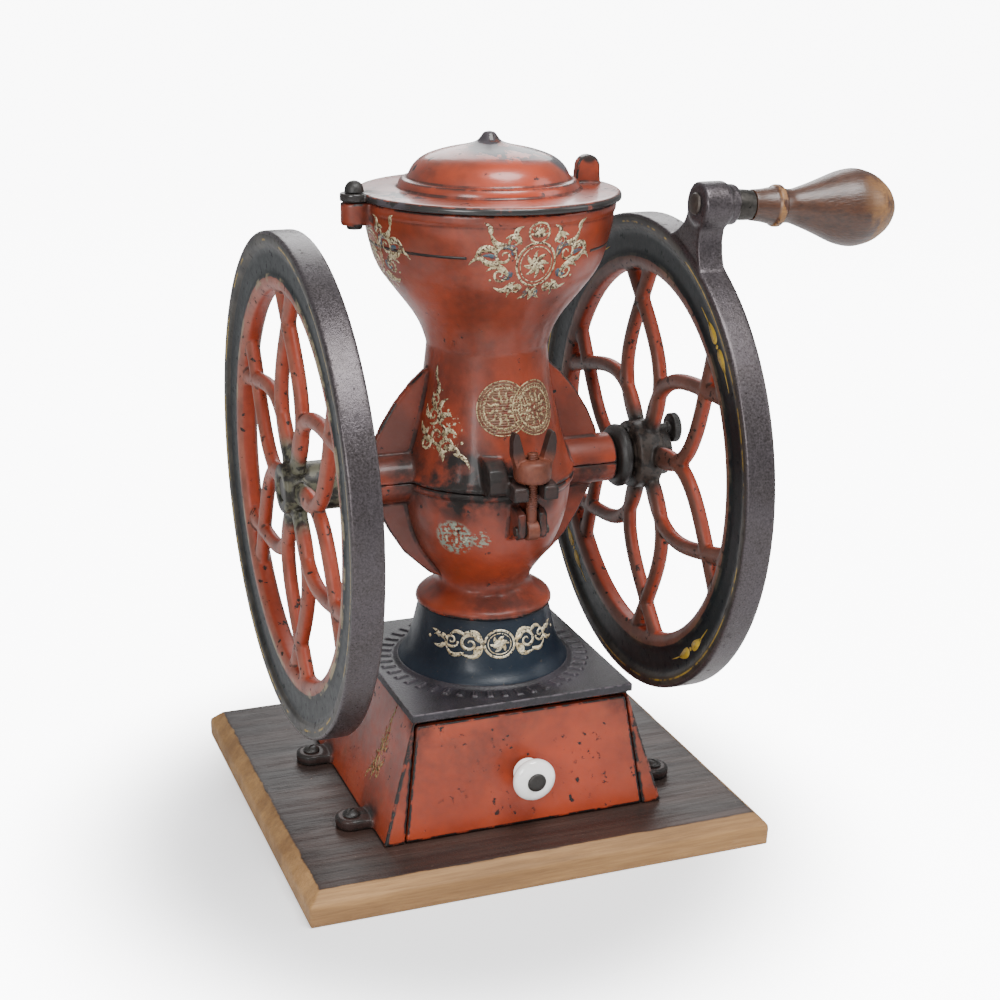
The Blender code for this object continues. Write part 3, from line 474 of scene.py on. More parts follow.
# The wheels: one casting painted in rings. The tread is bare from standing and handling, the bead is dark,
# the channel blue-black, the inner ring and rods red, all from distance to the axle.
wheelRings = {
    "tread": 0.1350, "bead": 0.1280, "ring": 0.1128, "stripe": (0.1313, 0.1322), "hub": 0.0215,
    "iron": "#423D3F", "beadColour": "#1D1C1B", "channel": "#070D12", "red": "#6A2A1C",
    "rodSide": "#8C3620", "wornFace": "#362923", "stripeColour": "#A88A2C",
}


def wornWheelPaint(name, faceWear, redFace, hubColour, hubPale, lineAmount):
    look = wheelRings
    finish, tree, shader, spot = startFinish(name, coat=0.03, coatRoughness=0.3, specular=0.28)
    ridge = addNode(tree, "Attribute", output=2, attribute_name="ridge")
    parts = spot.node  # object coordinates, so that the rings turn with the wheel
    apart = tree.nodes.new("ShaderNodeSeparateXYZ")
    tree.links.new(spot, apart.inputs[0])
    flat = addNode(tree, "CombineXYZ", {1: apart.outputs[1], 2: apart.outputs[2]})
    radius = addNode(tree, "VectorMath", {0: flat, 1: (0, 0, axleHeight)}, output=1, operation="DISTANCE")
    facing = tree.nodes.new("ShaderNodeSeparateXYZ")
    tree.links.new(parts.outputs[1], facing.inputs[0])
    sideways = addNode(tree, "Math", {0: facing.outputs[0]}, operation="ABSOLUTE")
    wobble = addNode(tree, "Math", {0: allOf(tree, patches(tree, spot, 9.0, 0.0, 1.0, 4.2, 5), 0.0012),
        1: radius}, operation="ADD")
    isTread = addNode(tree, "MapRange", {0: wobble, 1: look["tread"], 2: look["tread"] + 0.0008},
        **softStep)
    isBead = addNode(tree, "MapRange", {0: wobble, 1: look["bead"] - 0.0004, 2: look["bead"] + 0.0004},
        **softStep)
    isRing = addNode(tree, "MapRange", {0: wobble, 1: look["ring"] + 0.0006, 2: look["ring"]}, **softStep)
    isHub = addNode(tree, "MapRange", {0: wobble, 1: look["hub"] + 0.011, 2: look["hub"]}, **softStep)
    hub = painted(tree, hexColour(hubColour), (patches(tree, spot, 5.0, 0.44, 0.56, 5.5, 5),
        hexColour(hubPale)))
    cloud = patches(tree, spot, 19.0, 0.34, 0.66, 1.9, 5)
    mottle = patches(tree, spot, 4.4, 0.3, 0.72, 2.8, 5)
    isFace = allOf(tree, addNode(tree, "MapRange", {0: sideways, 1: 0.35, 2: 0.8}, **softStep), faceWear)
    face = painted(tree, hexColour(redFace), (allOf(tree, cloud, 0.6), hexColour(look["wornFace"])))
    red = painted(tree, hexColour(look["rodSide"]), (allOf(tree, mottle, 0.35), hexColour(look["red"])),
        (isFace, face))
    chips = patches(tree, spot, 4.6, 0.60, 0.64, 7.7, 6)
    red = painted(tree, red, (chips, hexColour("#241A15")))
    channel = painted(tree, hexColour(look["channel"]), (allOf(tree, cloud, 0.5), hexColour("#121A1A")),
                      (allOf(tree, mottle, 0.15), hexColour("#232A27")))
    bead = painted(tree, hexColour(look["beadColour"]), (allOf(tree, cloud, 0.6), hexColour("#454039")),
                   (allOf(tree, addNode(tree, "MapRange", {0: ridge, 1: 0.06, 2: 0.3}, **softStep), 0.5),
                       hexColour("#6B6255")))
    onStripe = allOf(tree, addNode(tree, "MapRange",
        {0: radius, 1: look["stripe"][0] - 0.0002, 2: look["stripe"][0] + 0.0001}, **softStep),
                     addNode(tree, "MapRange", {0: radius, 1: look["stripe"][1] + 0.0002,
                         2: look["stripe"][1] - 0.0001}, **softStep),
                     patches(tree, spot, 26.0, 0.46, 0.52, 9.1, 3),
                     patches(tree, spot, 1.8, 0.36, 0.5, 9.5, 4))
    bead = painted(tree, bead, (allOf(tree, onStripe, 0.8), hexColour(look["stripeColour"])))
    grain = patches(tree, spot, 1.0, 0.3, 0.75, 6.6, 4)
    iron = painted(tree, hexColour(look["iron"]), (allOf(tree, cloud, 0.5), hexColour("#35302C")),
                   (allOf(tree, grain, 0.45), hexColour("#6E676B")))
    crevice = allOf(tree, addNode(tree, "MapRange", {0: ridge, 1: -0.02, 2: -0.14}, **softStep), 0.7)
    ringEdge = allOf(tree, addNode(tree, "MapRange",
        {0: radius, 1: look["ring"] - 0.0040, 2: look["ring"] - 0.0014}, **softStep),
                     addNode(tree, "MapRange", {0: radius, 1: look["ring"] + 0.0018,
                         2: look["ring"] + 0.0010}, **softStep),
                     patches(tree, spot, 16.0, 0.47, 0.57, 3.5, 6), lineAmount)
    tone = painted(tree, channel, (isRing, red), (ringEdge, hexColour("#86795E")), (isBead, bead),
        (isTread, iron), (isHub, hub),
                   (crevice, hexColour("#17120F")))
    rough = levels(tree, 0.42, (mottle, 0.5), (isTread, 0.27), (allOf(tree, isTread, grain), 0.42),
        (chips, 0.65))
    metal = levels(tree, 0.0, (isTread, 0.65))
    height = anyOf(tree, allOf(tree, grain, isTread, 0.6),
        allOf(tree, patches(tree, spot, 2.4, 0.2, 0.8, 3.3, 3), 0.35))
    endFinish(tree, shader, tone, rough, height, 0.12, metal)
    return finish


# A softwood board under old brown paint: the grain runs across the mill, the paint has worn off the
# chamfers and edges down to yellow-brown wood with dark pores.
boardLook = {"paint": "#241C1A", "paintWorn": "#4A423D", "wood": "#9C764A", "pale": "#B88F5E",
    "dark": "#4A2F1C"}


def paintedPine(name, low, high, chamfer):
    look = boardLook
    finish, tree, shader, spot = startFinish(name, specular=0.35)
    apart = tree.nodes.new("ShaderNodeSeparateXYZ")
    tree.links.new(spot, apart.inputs[0])
    streak = patches(tree, spot, 3.6, 0.28, 0.72, 1.2, 5, (0.045, 1.0, 1.0))
    fine = patches(tree, spot, 0.9, 0.3, 0.75, 2.2, 4, (0.04, 1.0, 1.0))
    broad = patches(tree, spot, 20.0, 0.35, 0.65, 3.2, 4, (0.12, 1.0, 1.0))
    wood = painted(tree, hexColour(look["wood"]), (allOf(tree, streak, 0.6), hexColour(look["pale"])),
                   (allOf(tree, broad, 0.45), hexColour(look["dark"])),
                   (allOf(tree, fine, 0.35), hexColour(look["dark"])))
    paint = painted(tree, hexColour(look["paint"]),
        (allOf(tree, streak, 0.45), hexColour(look["paintWorn"])),
                    (allOf(tree, fine, 0.3), hexColour("#1B1411")),
                    (allOf(tree, broad, 0.35), hexColour("#4A2D22")))
    specks = patches(tree, spot, 2.0, 0.70, 0.73, 7.2, 3)
    paint = painted(tree, paint, (specks, hexColour("#A08A76")))
    top = addNode(tree, "MapRange", {0: apart.outputs[2], 1: high[2] - 0.0016, 2: high[2] - 0.0006},
        **softStep)
    inX = addNode(tree, "Math", {0: addNode(tree, "Math", {0: apart.outputs[0], 1: (low[0] + high[0]) / 2},
        operation="SUBTRACT")}, operation="ABSOLUTE")
    inY = addNode(tree, "Math", {0: addNode(tree, "Math", {0: apart.outputs[1], 1: (low[1] + high[1]) / 2},
        operation="SUBTRACT")}, operation="ABSOLUTE")
    fringe = addNode(tree, "Math", {0: patches(tree, spot, 9.0, 0.0, 1.0, 8.2, 5, (0.4, 1, 1)), 1: 0.0022},
        operation="MULTIPLY")
    edgeX = addNode(tree, "Math", {0: inX, 1: fringe}, operation="ADD")
    edgeY = addNode(tree, "Math", {0: inY, 1: fringe}, operation="ADD")
    awayX = addNode(tree, "MapRange", {0: edgeX, 1: (high[0] - low[0]) / 2 - chamfer + 0.0012,
        2: (high[0] - low[0]) / 2 - chamfer}, **softStep)
    awayY = addNode(tree, "MapRange", {0: edgeY, 1: (high[1] - low[1]) / 2 - chamfer + 0.0012,
        2: (high[1] - low[1]) / 2 - chamfer}, **softStep)
    covered = allOf(tree, top, awayX, awayY)
    tone = painted(tree, wood, (covered, paint))
    rough = levels(tree, 0.62, (covered, 0.40), (allOf(tree, fine, 0.6), 0.58))
    height = anyOf(tree, allOf(tree, streak, 0.7), allOf(tree, fine, 0.6))
    endFinish(tree, shader, tone, rough, height, 0.22)
    return finish


# Turned maple with its varnish worn by the hand: dark brown where it stays, dull yellow wood where
# it is gone.
def turnedMaple(name, start, axis):
    finish, tree, shader, spot = startFinish(name, coat=0.3, coatRoughness=0.25)
    along = addNode(tree, "VectorMath", {0: addNode(tree, "VectorMath", {0: spot, 1: start},
        operation="SUBTRACT"), 1: axis}, output=1, operation="DOT_PRODUCT")
    grain = patches(tree, spot, 1.1, 0.3, 0.72, 1.4, 5, (0.09, 1.0, 1.0))
    streak = patches(tree, spot, 5.0, 0.3, 0.7, 2.4, 4, (0.2, 1.0, 1.0))
    varnish = painted(tree, hexColour("#402517"), (allOf(tree, streak, 0.7), hexColour("#1F120D")),
                      (allOf(tree, grain, 0.3), hexColour("#6A4026")))
    raw = painted(tree, hexColour("#8F6433"), (allOf(tree, grain, 0.6), hexColour("#5A3A20")))
    ball = allOf(tree, addNode(tree, "MapRange", {0: along, 1: 0.074, 2: 0.096}, **softStep),
        patches(tree, spot, 17.0, 0.44, 0.56, 5.4, 5, (1.0, 0.8, 0.8)))
    ring = allOf(tree, addNode(tree, "MapRange", {0: along, 1: 0.0335, 2: 0.035}, **softStep),
        addNode(tree, "MapRange", {0: along, 1: 0.0385, 2: 0.037}, **softStep),
        patches(tree, spot, 6.0, 0.4, 0.5, 6.4, 3))
    bare = anyOf(tree, ball, ring)
    tone = painted(tree, varnish, (bare, raw))
    rough = levels(tree, 0.34, (streak, 0.42), (bare, 0.6))
    endFinish(tree, shader, tone, rough, grain, 0.1)
    return finish


# Glazed porcelain: white under a wet glaze, a little grey at its crazed rim.
def glazedPorcelain(name):
    finish, tree, shader, spot = startFinish(name, coat=0.6, coatRoughness=0.06)
    cloud = patches(tree, spot, 9.0, 0.4, 0.75, 1.6, 3)
    specks = patches(tree, spot, 1.6, 0.70, 0.74, 2.6, 3)
    tone = painted(tree, hexColour("#FCFBF8"), (allOf(tree, cloud, 0.35), hexColour("#CFCBC2")),
        (allOf(tree, specks, 0.5), hexColour("#8E8579")))
    endFinish(tree, shader, tone, levels(tree, 0.12, (cloud, 0.2)))
    return finish


# Tinned sheet iron, folded and soldered: dull silver-grey with brown spots where the tin has gone.
def oldTinplate(name):
    finish, tree, shader, spot = startFinish(name, metallic=0.85)
    cloud = patches(tree, spot, 12.0, 0.38, 0.66, 1.5, 5)
    rust = patches(tree, spot, 6.0, 0.60, 0.68, 2.5, 6)
    tone = painted(tree, hexColour("#8C8880"), (allOf(tree, cloud, 0.5), hexColour("#66615A")),
        (rust, hexColour("#5A3A26")))
    endFinish(tree, shader, tone, levels(tree, 0.38, (cloud, 0.5), (rust, 0.75)), cloud, 0.05)
    return finish


# Gold transfer and striping paint: thin films over enamel, rubbed away in flecks that show what is under.
def rubbedFilm(name, colour, shade, under, kept=(0.36, 0.46), roughness=0.42, metallic=0.0, fleckMm=1.5):
    finish, tree, shader, spot = startFinish(name, metallic=metallic)
    left = patches(tree, spot, fleckMm, *kept, 2.9, 5)
    tone = patches(tree, spot, 4.0, 0.35, 0.65, 3.9, 4)
    film = painted(tree, hexColour(colour), (allOf(tree, tone, 0.7), hexColour(shade)))
    endFinish(tree, shader, painted(tree, hexColour(under), (left, film)),
        levels(tree, roughness + 0.1, (left, roughness)))
    return finish


caseGrime = [
    ((-0.030, -0.040, 0.2100), 30, 1.3), ((-0.010, -0.052, 0.2110), 24, 1.4),
    ((0.018, -0.050, 0.2020), 20, 1.0),
    ((-0.046, -0.012, 0.2080), 22, 0.9), ((-0.070, 0.0, 0.205), 20, 0.8), ((0.060, -0.006, 0.200), 16, 0.7),
    ((0.0, 0.05, 0.205), 34, 0.8), ((-0.014, -0.060, 0.192), 12, 0.9),
]
forkSoot = [((-0.0035, -0.0610, 0.2110), 13), ((0.0135, -0.0610, 0.2110), 13),
    ((-0.0125, -0.0520, 0.2140), 16)]
hopperEnamel = wornRedEnamel(
    "wornRedEnamelOnHopper", soot=forkSoot, grime=caseGrime + [((0.075, 0.0, 0.2050), 14, 0.7),
        ((-0.070, 0, 0.350), 14, 0.8)],
    brown=[((-0.024, -0.050, 0.2140), 26, 0.9), ((0.0, -0.02, 0.30), 60, 0.35),
        # the two patches on the side webs at x = ±0.058 are partly browned enamel, partly painted shade
        # under the hopper's flare
        ((-0.05, -0.03, 0.34), 36, 0.4), ((-0.058, 0.0, 0.226), 34, 0.9), ((0.058, 0.0, 0.226), 30, 0.7),
        ((0.030, -0.040, 0.2160), 26, 0.55)],
    remains=[((-0.035, -0.022, 0.236), 15, "#C9C1A2", 0.57)],
)
bowlEnamel = wornRedEnamel(
    "wornRedEnamelOnBowl", grime=caseGrime + [((0.0050, -0.0600, 0.1900), 15, 0.85),
        ((0.075, 0.0, 0.2050), 14, 0.7), ((0.0, -0.03, 0.131), 34, 0.6),
        ((0.060, -0.006, 0.200), 24, 0.9)],
    bright=[((-0.004, -0.040, 0.160), 30, 0.35)],
    brown=[((-0.052, 0.0, 0.182), 34, 0.85), ((0.0, 0.0, 0.134), 26, 0.95),
        ((0.0050, -0.0600, 0.1920), 17, 0.9)],
    remains=[((-0.0300, -0.0330, 0.1780), 12, "#7E8A7C", 0.46),
        ((-0.0285, -0.0340, 0.1790), 9, "#C9BFA0", 0.56), ((-0.0170, -0.0410, 0.1785), 6, "#8D917F", 0.5)],
)
baseEnamel = wornRedEnamel(
    "wornRedEnamelOnBase", soot=[((x, y, 0.0215), 17) for x in (-0.0930, 0.0930)
        for y in (-0.0420, 0.0420)], grime=[((-0.090, -0.044, 0.022), 18, 1.2),
        ((0.090, -0.044, 0.022), 16, 0.9), ((-0.06, -0.066, 0.085), 14, 0.9)],
    chips=0.60, edge=(0.06, 0.20), paleAmount=0.5,
)
drawerEnamel = wornRedEnamel(
    "wornRedEnamelOnDrawer", grime=[((-0.062, -0.066, 0.082), 12, 0.7), ((0.060, -0.066, 0.082), 12, 0.6),
        ((0.0, -0.074, 0.050), 19, 0.35)],
    bright=[((0.02, -0.071, 0.03), 66, 0.45), ((-0.05, -0.071, 0.03), 40, 0.3)], chips=0.60,
    edge=(0.07, 0.24), paleAmount=0.3,
)
lidEnamel = wornRedEnamel(
    "wornRedEnamelOnLid", rim=0.0699, soot=[((-0.0760, 0.0, 0.3590), 11), ((0.0563, 0.0, 0.3765), 7),
        ((0.0, 0.0, 0.3885), 8)],
    grime=[((-0.072, 0.0, 0.358), 20, 1.0), ((0.0, 0.0, 0.390), 20, 0.8)],
    worn=[((0.004, -0.012, 0.384), 27, 0.45), ((0.030, -0.016, 0.377), 15, 0.38),
        ((-0.060, -0.020, 0.360), 22, 0.52)],
    # painted highlight: the bright patch on the front of the dome's foot and flange
    bright=[((0.0, -0.045, 0.366), 34, 0.8)], coat=0.6, chips=0.575, chipMm=6.5, edge=(0.09, 0.26),
    paleAmount=0.3,
)
pedestalEnamel = wornBlueBlackEnamel("wornBlueBlackEnamel", colour="#0F1D2A", rub="#434B4F")
plateJapan = blackJapan("blackJapanOnTopPlate")
blackIron = blackJapan("blackenedIron", colour="#141210", faded="#2C2723", grainMm=1.1, depthMm=0.08,
    roughness=0.5)
rustyClampIron = handledIron("rustyClampIron", "#63301F", "#20130E", "#824A32", 0.1, 0.48,
                              soot=[((-0.0060, -0.0575, 0.2400), 14), ((0.0160, -0.0575, 0.2400), 14)])
darkSteel = handledIron("darkSteel", "#3A3734", "#1F1D1B", "#5C5853", 0.75, 0.38)
castIron = handledIron("handledCastIron")
porcelain = glazedPorcelain("glazedPorcelain")
tinplate = oldTinplate("oldTinplate")
goldOnRed = rubbedFilm("goldTransferOnRed", "#E2D5AE", "#7E6C40", "#4A3022", (0.44, 0.51), 0.36, 0.2, 1.1)
goldOnBlue = rubbedFilm("goldTransferOnBlue", "#F0E4C4", "#B39456", "#091521", (0.40, 0.47), 0.3, 0.2, 1.2)
blueFilm = rubbedFilm("blueTransfer", "#3F5A66", "#2A3B45", "#7B2C1C", (0.40, 0.5))
blackStripe = rubbedFilm("blackStripingPaint", "#17110F", "#241A16", "#5A2418", (0.30, 0.38))
yellowOnBlue = rubbedFilm("yellowStripingPaint", "#B5942A", "#8F7426", "#0E1720", (0.30, 0.40), 0.45)
paleGold = rubbedFilm("paleGoldTransfer", "#C6B48A", "#8A7448", "#4E3424", (0.43, 0.50), 0.42, 0.15, 0.9)
goldGround = rubbedFilm("goldTransferGround", "#7A5A40", "#4A2E22", "#6A2C1C", (0.38, 0.52), 0.5, 0.1, 2.0)
dullGold = rubbedFilm("dullGoldTransfer", "#A08658", "#6B5233", "#82301E", (0.42, 0.52), 0.45, 0.15)
print("finishes made")


# the board

boardShape = {"chamfer": 0.0068, "voxelMm": 1.5, "dent": 0.0009, "dentReach": 0.010}


def makeBoard():
    low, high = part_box("board")
    chamfer = boardShape["chamfer"]
    bm = bmesh.new()
    bmesh.ops.create_cube(bm, size=1.0)
    bmesh.ops.scale(bm, vec=high - low, verts=bm.verts)
    bmesh.ops.translate(bm, vec=(low + high) / 2, verts=bm.verts)
    rim = [edge for edge in bm.edges if all(vert.co.z > high.z - 1e-5 for vert in edge.verts)]
    bmesh.ops.bevel(bm, geom=rim, offset=chamfer, segments=1, affect="EDGES")
    shape = ([v.co.copy() for v in bm.verts], [tuple(v.index for v in f.verts) for f in bm.faces])
    bm.free()
    piece = castPiece("board", shape, boardShape["voxelMm"], 2)
    middle, half = (low + high) / 2, (high - low) / 2
    for vert in piece.data.vertices:  # dents, deepest on the outer edges
        fromEdge = min(half.x - abs(vert.co.x - middle.x), half.y - abs(vert.co.y - middle.y))
        depth = boardShape["dent"] * max(0.0, noise.noise(vert.co * 60) + 0.1)
        depth *= max(0.0, 1 - fromEdge / boardShape["dentReach"])
        if vert.co.z > 0.001:
            vert.co.x -= math.copysign(depth,
                vert.co.x - middle.x) * (half.x - abs(vert.co.x - middle.x) < 0.009)
            vert.co.y -= math.copysign(depth,
                vert.co.y - middle.y) * (half.y - abs(vert.co.y - middle.y) < 0.009)
    place(piece, "frame", "board_wood", paintedPine("paintedPine", low, high, chamfer), "board")


makeBoard()


# the base: sloping shell with the drawer's mouth, top plate and pedestal

baseSize = {"bottom": (0.0835, 0.0735), "top": (0.0630, 0.0640), "low": 0.0182, "high": 0.0876,
    "wall": 0.0050}


plateSize = {
    "half": (0.0652, 0.0666), "low": 0.0874, "high": 0.0920,
    "bars": 44, "barStart": 0.0536, "barReach": 0.0606, "barHeights": (0.0915, 0.0930),
}
lugSize = {"x": 0.0930, "y": 0.0420, "radius": 0.0090, "top": 0.0247, "neckInner": 0.0800}


def sideAt(height):
    share = (height - baseSize["low"]) / (baseSize["high"] - baseSize["low"])
    return [b + (t - b) * share for b, t in zip(baseSize["bottom"], baseSize["top"])]


def pyramid(low, high, shrink=0.0):
    (a, b), (c, d) = sideAt(low), sideAt(high)
    a, b, c, d = a - shrink, b - shrink, c - shrink, d - shrink
    points = [(-a, -b, low), (a, -b, low), (a, b, low), (-a, b, low), (-c, -d, high), (c, -d, high),
        (c, d, high), (-c, d, high)]
    return points, [(3, 2, 1, 0), (4, 5, 6, 7), (0, 1, 5, 4), (1, 2, 6, 5), (2, 3, 7, 6), (3, 0, 4, 7)]


def hollowed(piece, *tools):
    for tool in tools:
        cutter = newPiece("cutter", tool)
        cut = piece.modifiers.new("cut", "BOOLEAN")
        cut.operation, cut.object, cut.solver = "DIFFERENCE", cutter, "EXACT"
        settle(piece)
        bpy.data.objects.remove(cutter)
    return piece


def makeBase():
    shell = newPiece("shell", pyramid(0.0185, 0.0876))
    mouth = slab([(-0.0718, 0.0165), (0.0718, 0.0165), (0.0627, 0.0856), (-0.0627, 0.0856)], -0.09, -0.050,
        lambda u, v, w: (u, w, v))
    hollowed(shell, pyramid(0.0175, 0.0864, baseSize["wall"]), mouth)
    bm = bmesh.new()
    bm.from_mesh(shell.data)
    parts = [([v.co.copy() for v in bm.verts], [tuple(v.index for v in f.verts) for f in bm.faces])]
    bm.free()
    bpy.data.objects.remove(shell)
    radius, top = lugSize["radius"], lugSize["top"]
    lug = softened([(0.0, top), (radius, top, 0.0012), (radius, 0.0185, 0.0001), (0.0, 0.0185)])
    for x in (-lugSize["x"], lugSize["x"]):
        for y in (-lugSize["y"], lugSize["y"]):
            parts.append(lathe(lug, 48, origin=(x, y, 0)))
            inner = math.copysign(lugSize["neckInner"], x)
            parts.append(brick((min(inner, x), y - 0.0088, 0.0185), (max(inner, x), y + 0.0088, 0.0240)))
    base = castPiece("baseShell", joined(*parts), 1.0, 2)
    place(base, "frame", "base_enamel", baseEnamel, "base_casting")
    halfX, halfY = plateSize["half"]
    start, reach = plateSize["barStart"], plateSize["barReach"]
    parts = [brick((-halfX, -halfY, plateSize["low"]), (halfX, halfY, plateSize["high"]))]
    for index in range(plateSize["bars"]):  # reeded ring round the foot of the pedestal
        angle = 2 * math.pi * index / plateSize["bars"]
        if max(abs(reach * math.cos(angle)) / halfX, abs(reach * math.sin(angle)) / halfY) > 0.97:
            continue

        def turned(u, v, w, a=angle):
            return (u * math.cos(a) - v * math.sin(a), u * math.sin(a) + v * math.cos(a), w)

        bar = [(start, -0.0012), (reach, -0.0015), (reach, 0.0015), (start, 0.0012)]
        parts.append(slab(bar, *plateSize["barHeights"], turned))
    parts.append(lathe(softened([(0.0, 0.0945), (0.0497, 0.0940, 0.0012), (0.0512, 0.0926, 0.0010),
        (0.0530, 0.0919, 0.0006), (0.0530, 0.0900, 0), (0.0, 0.0900)]), 128))
    plate = castPiece("topPlate", joined(*parts), 0.62, 2)
    place(plate, "frame", "black_iron", plateJapan)
    profile = softened([
        (0.0, 0.1279), (0.0372, 0.1279, 0.0006), (0.0395, 0.1180, 0.003), (0.0425, 0.1060, 0.004),
        (0.0452, 0.0990, 0.003),
        (0.0490, 0.0945, 0.002), (0.0496, 0.0930, 0.0004), (0.0, 0.0930),
    ])
    pedestal = newPiece("pedestal", lathe(dense(profile, 0.0008), 200))
    markRidges(pedestal)
    place(pedestal, "frame", "base_enamel", pedestalEnamel)


makeBase()


def makeFootScrews():
    for name in [f"foot_screw_{side}_{end}" for side in ("left", "right") for end in ("front", "rear")]:
        low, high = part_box(name)
        x, y, seat = (low.x + high.x) / 2, (low.y + high.y) / 2, high.z - 0.0028
        head = softened([(0.0, seat + 0.0028), (0.0026, seat + 0.0025, 0.001),
            (0.0046, seat + 0.0011, 0.001), (0.0050, seat, 0.0003), (0.0, seat)])
        screw = newPiece(name.title().replace("_", "").replace("Foot", "foot"),
            lathe(head, 48, origin=(x, y, 0)))
        angle = 0.7 if "left" in name else 2.1
        slot = slab([(-0.006, -0.0005), (0.006, -0.0005), (0.006, 0.0005), (-0.006, 0.0005)], seat + 0.0014,
            seat + 0.004,
                    lambda u, v, w: (x + u * math.cos(angle) - v * math.sin(angle),
                        y + u * math.sin(angle) + v * math.cos(angle), w))
        hollowed(screw, slot)
        place(screw, "frame", "black_iron", blackIron, name)


makeFootScrews()
print("board and base made")


# the two halves of the case

hopperOutside = [
    (0.0676, 0.3556, 0.0008), (0.0676, 0.3512, 0.0008), (0.0666, 0.3500, 0.0006), (0.0662, 0.3440, 0.002),
    (0.0646, 0.3370, 0.004),
    (0.0622, 0.3270, 0.005), (0.0588, 0.3190, 0.004), (0.0530, 0.3110, 0.006), (0.0403, 0.2950, 0.008),
    (0.0360, 0.2870, 0.004),
    (0.0333, 0.2788, 0.0012), (0.0331, 0.2772, 0.0012), (0.0350, 0.2580, 0.009), (0.0415, 0.2290, 0.012),
    (0.0480, 0.2088, 0.003),
    (0.0494, 0.2078, 0.0006), (0.0494, 0.2053, 0.0004),
]
hopperInside = [
    (0.0436, 0.2053, 0.0004), (0.0436, 0.2070, 0.001), (0.0372, 0.2290, 0.006), (0.0306, 0.2580, 0.006),
    (0.0290, 0.2780, 0.003),
    (0.0318, 0.2890, 0.003), (0.0362, 0.2970, 0.004), (0.0490, 0.3120, 0.004), (0.0548, 0.3200, 0.003),
    (0.0585, 0.3280, 0.004),
    (0.0606, 0.3380, 0.004), (0.0636, 0.3480, 0.002), (0.0636, 0.3556, 0.0008),
]
bowlOutside = [
    (0.0496, 0.2049, 0.0004), (0.0496, 0.2020, 0.0008), (0.0480, 0.2008, 0.001), (0.0478, 0.1980, 0.003),
    (0.0466, 0.1860, 0.006), (0.0435, 0.1740, 0.006), (0.0388, 0.1630, 0.006),
    (0.0278, 0.1480, 0.005), (0.0262, 0.1430, 0.003), (0.0276, 0.1392, 0.002), (0.0318, 0.1362, 0.003),
    (0.0378, 0.1326, 0.001),
    (0.0390, 0.1308, 0.0008), (0.0390, 0.1283, 0.0005),
]
bowlInside = [
    (0.0205, 0.1283, 0.0003), (0.0205, 0.1440, 0.002), (0.0230, 0.1510, 0.003), (0.0345, 0.1670, 0.004),
    (0.0390, 0.1770, 0.004),
    (0.0420, 0.1880, 0.004), (0.0432, 0.2000, 0.002), (0.0432, 0.2049, 0.0004),
]
webSize = {
    "thickness": 0.0050,
    "lower": [(0.0330, 0.1640), (0.0405, 0.1860), (0.0405, 0.2049), (0.0660, 0.2049), (0.0640, 0.1900),
        (0.0570, 0.1750), (0.0480, 0.1610), (0.0330, 0.1470), (0.0240, 0.1440)],
    "upper": [(0.0385, 0.2053), (0.0385, 0.2200), (0.0335, 0.2650), (0.0362, 0.2650), (0.0440, 0.2580),
        (0.0530, 0.2475), (0.0610, 0.2350), (0.0665, 0.2230), (0.0685, 0.2130), (0.0685, 0.2053)],
}
clamp = {"x": 0.0050, "y": -0.0575, "pivot": 0.1870, "seat": 0.2146}


def inFrontPlane(u, v, w):
    return (u, w, v)


def inSidePlane(u, v, w):
    return (w, u, v)


def halfBoss(side, upper):
    low, high = (0.0382, 0.0755)
    turn = np.linspace(0, math.pi, 33) if upper else np.linspace(math.pi, 2 * math.pi, 33)
    seam = axleHeight + (0.0002 if upper else -0.0002)
    ring = [(0.0138 * math.cos(a), seam + 0.0138 * math.sin(a)) for a in turn]
    ends = sorted((side * low, side * high))
    return slab(ring, ends[0], ends[1], inSidePlane)


def makeLowerCase():
    parts = [lathe(dense(softened(bowlOutside + bowlInside), 0.002), 144)]
    half = webSize["thickness"] / 2
    for side in (-1, 1):
        parts.append(halfBoss(side, False))
        parts.append(slab([(side * x, z) for x, z in webSize["lower"]], -half, half, inFrontPlane))
        # curved ears that hold the swing bolt's pin
        low = clamp["x"] - 0.0084 if side < 0 else clamp["x"] + 0.0038
        ear = [(-0.0380, 0.1985), (-0.0560, 0.1985), (-0.0600, 0.1965), (-0.0612, 0.1900),
            (-0.0605, 0.1840), (-0.0570, 0.1815), (-0.0520, 0.1830), (-0.0490, 0.1800), (-0.0380, 0.1760)]
        parts.append(slab(ear, low, low + 0.0046, inSidePlane))
        low = -0.0120 if side < 0 else 0.0060
        parts.append(brick((low, 0.0420, 0.1925), (low + 0.0060, 0.0597, 0.2042)))
        parts.append(brick((-0.0190, side * 0.0270 - 0.0110, 0.1985),
            (0.0045, side * 0.0270 + 0.0105, 0.2044)))
    trough = [(0.0185 * math.cos(a), axleHeight + 0.0185 * math.sin(a))
        for a in np.linspace(math.pi, 2 * math.pi, 25)]
    trough += [(0.0154 * math.cos(a), axleHeight + 0.0154 * math.sin(a))
        for a in np.linspace(2 * math.pi, math.pi, 25)]
    parts.append(slab(trough, -0.0420, 0.0030, inSidePlane))
    case = castPiece("lowerCase", joined(*parts), 0.8, 3)
    place(case, "frame", "case_enamel", bowlEnamel, "lower_case")


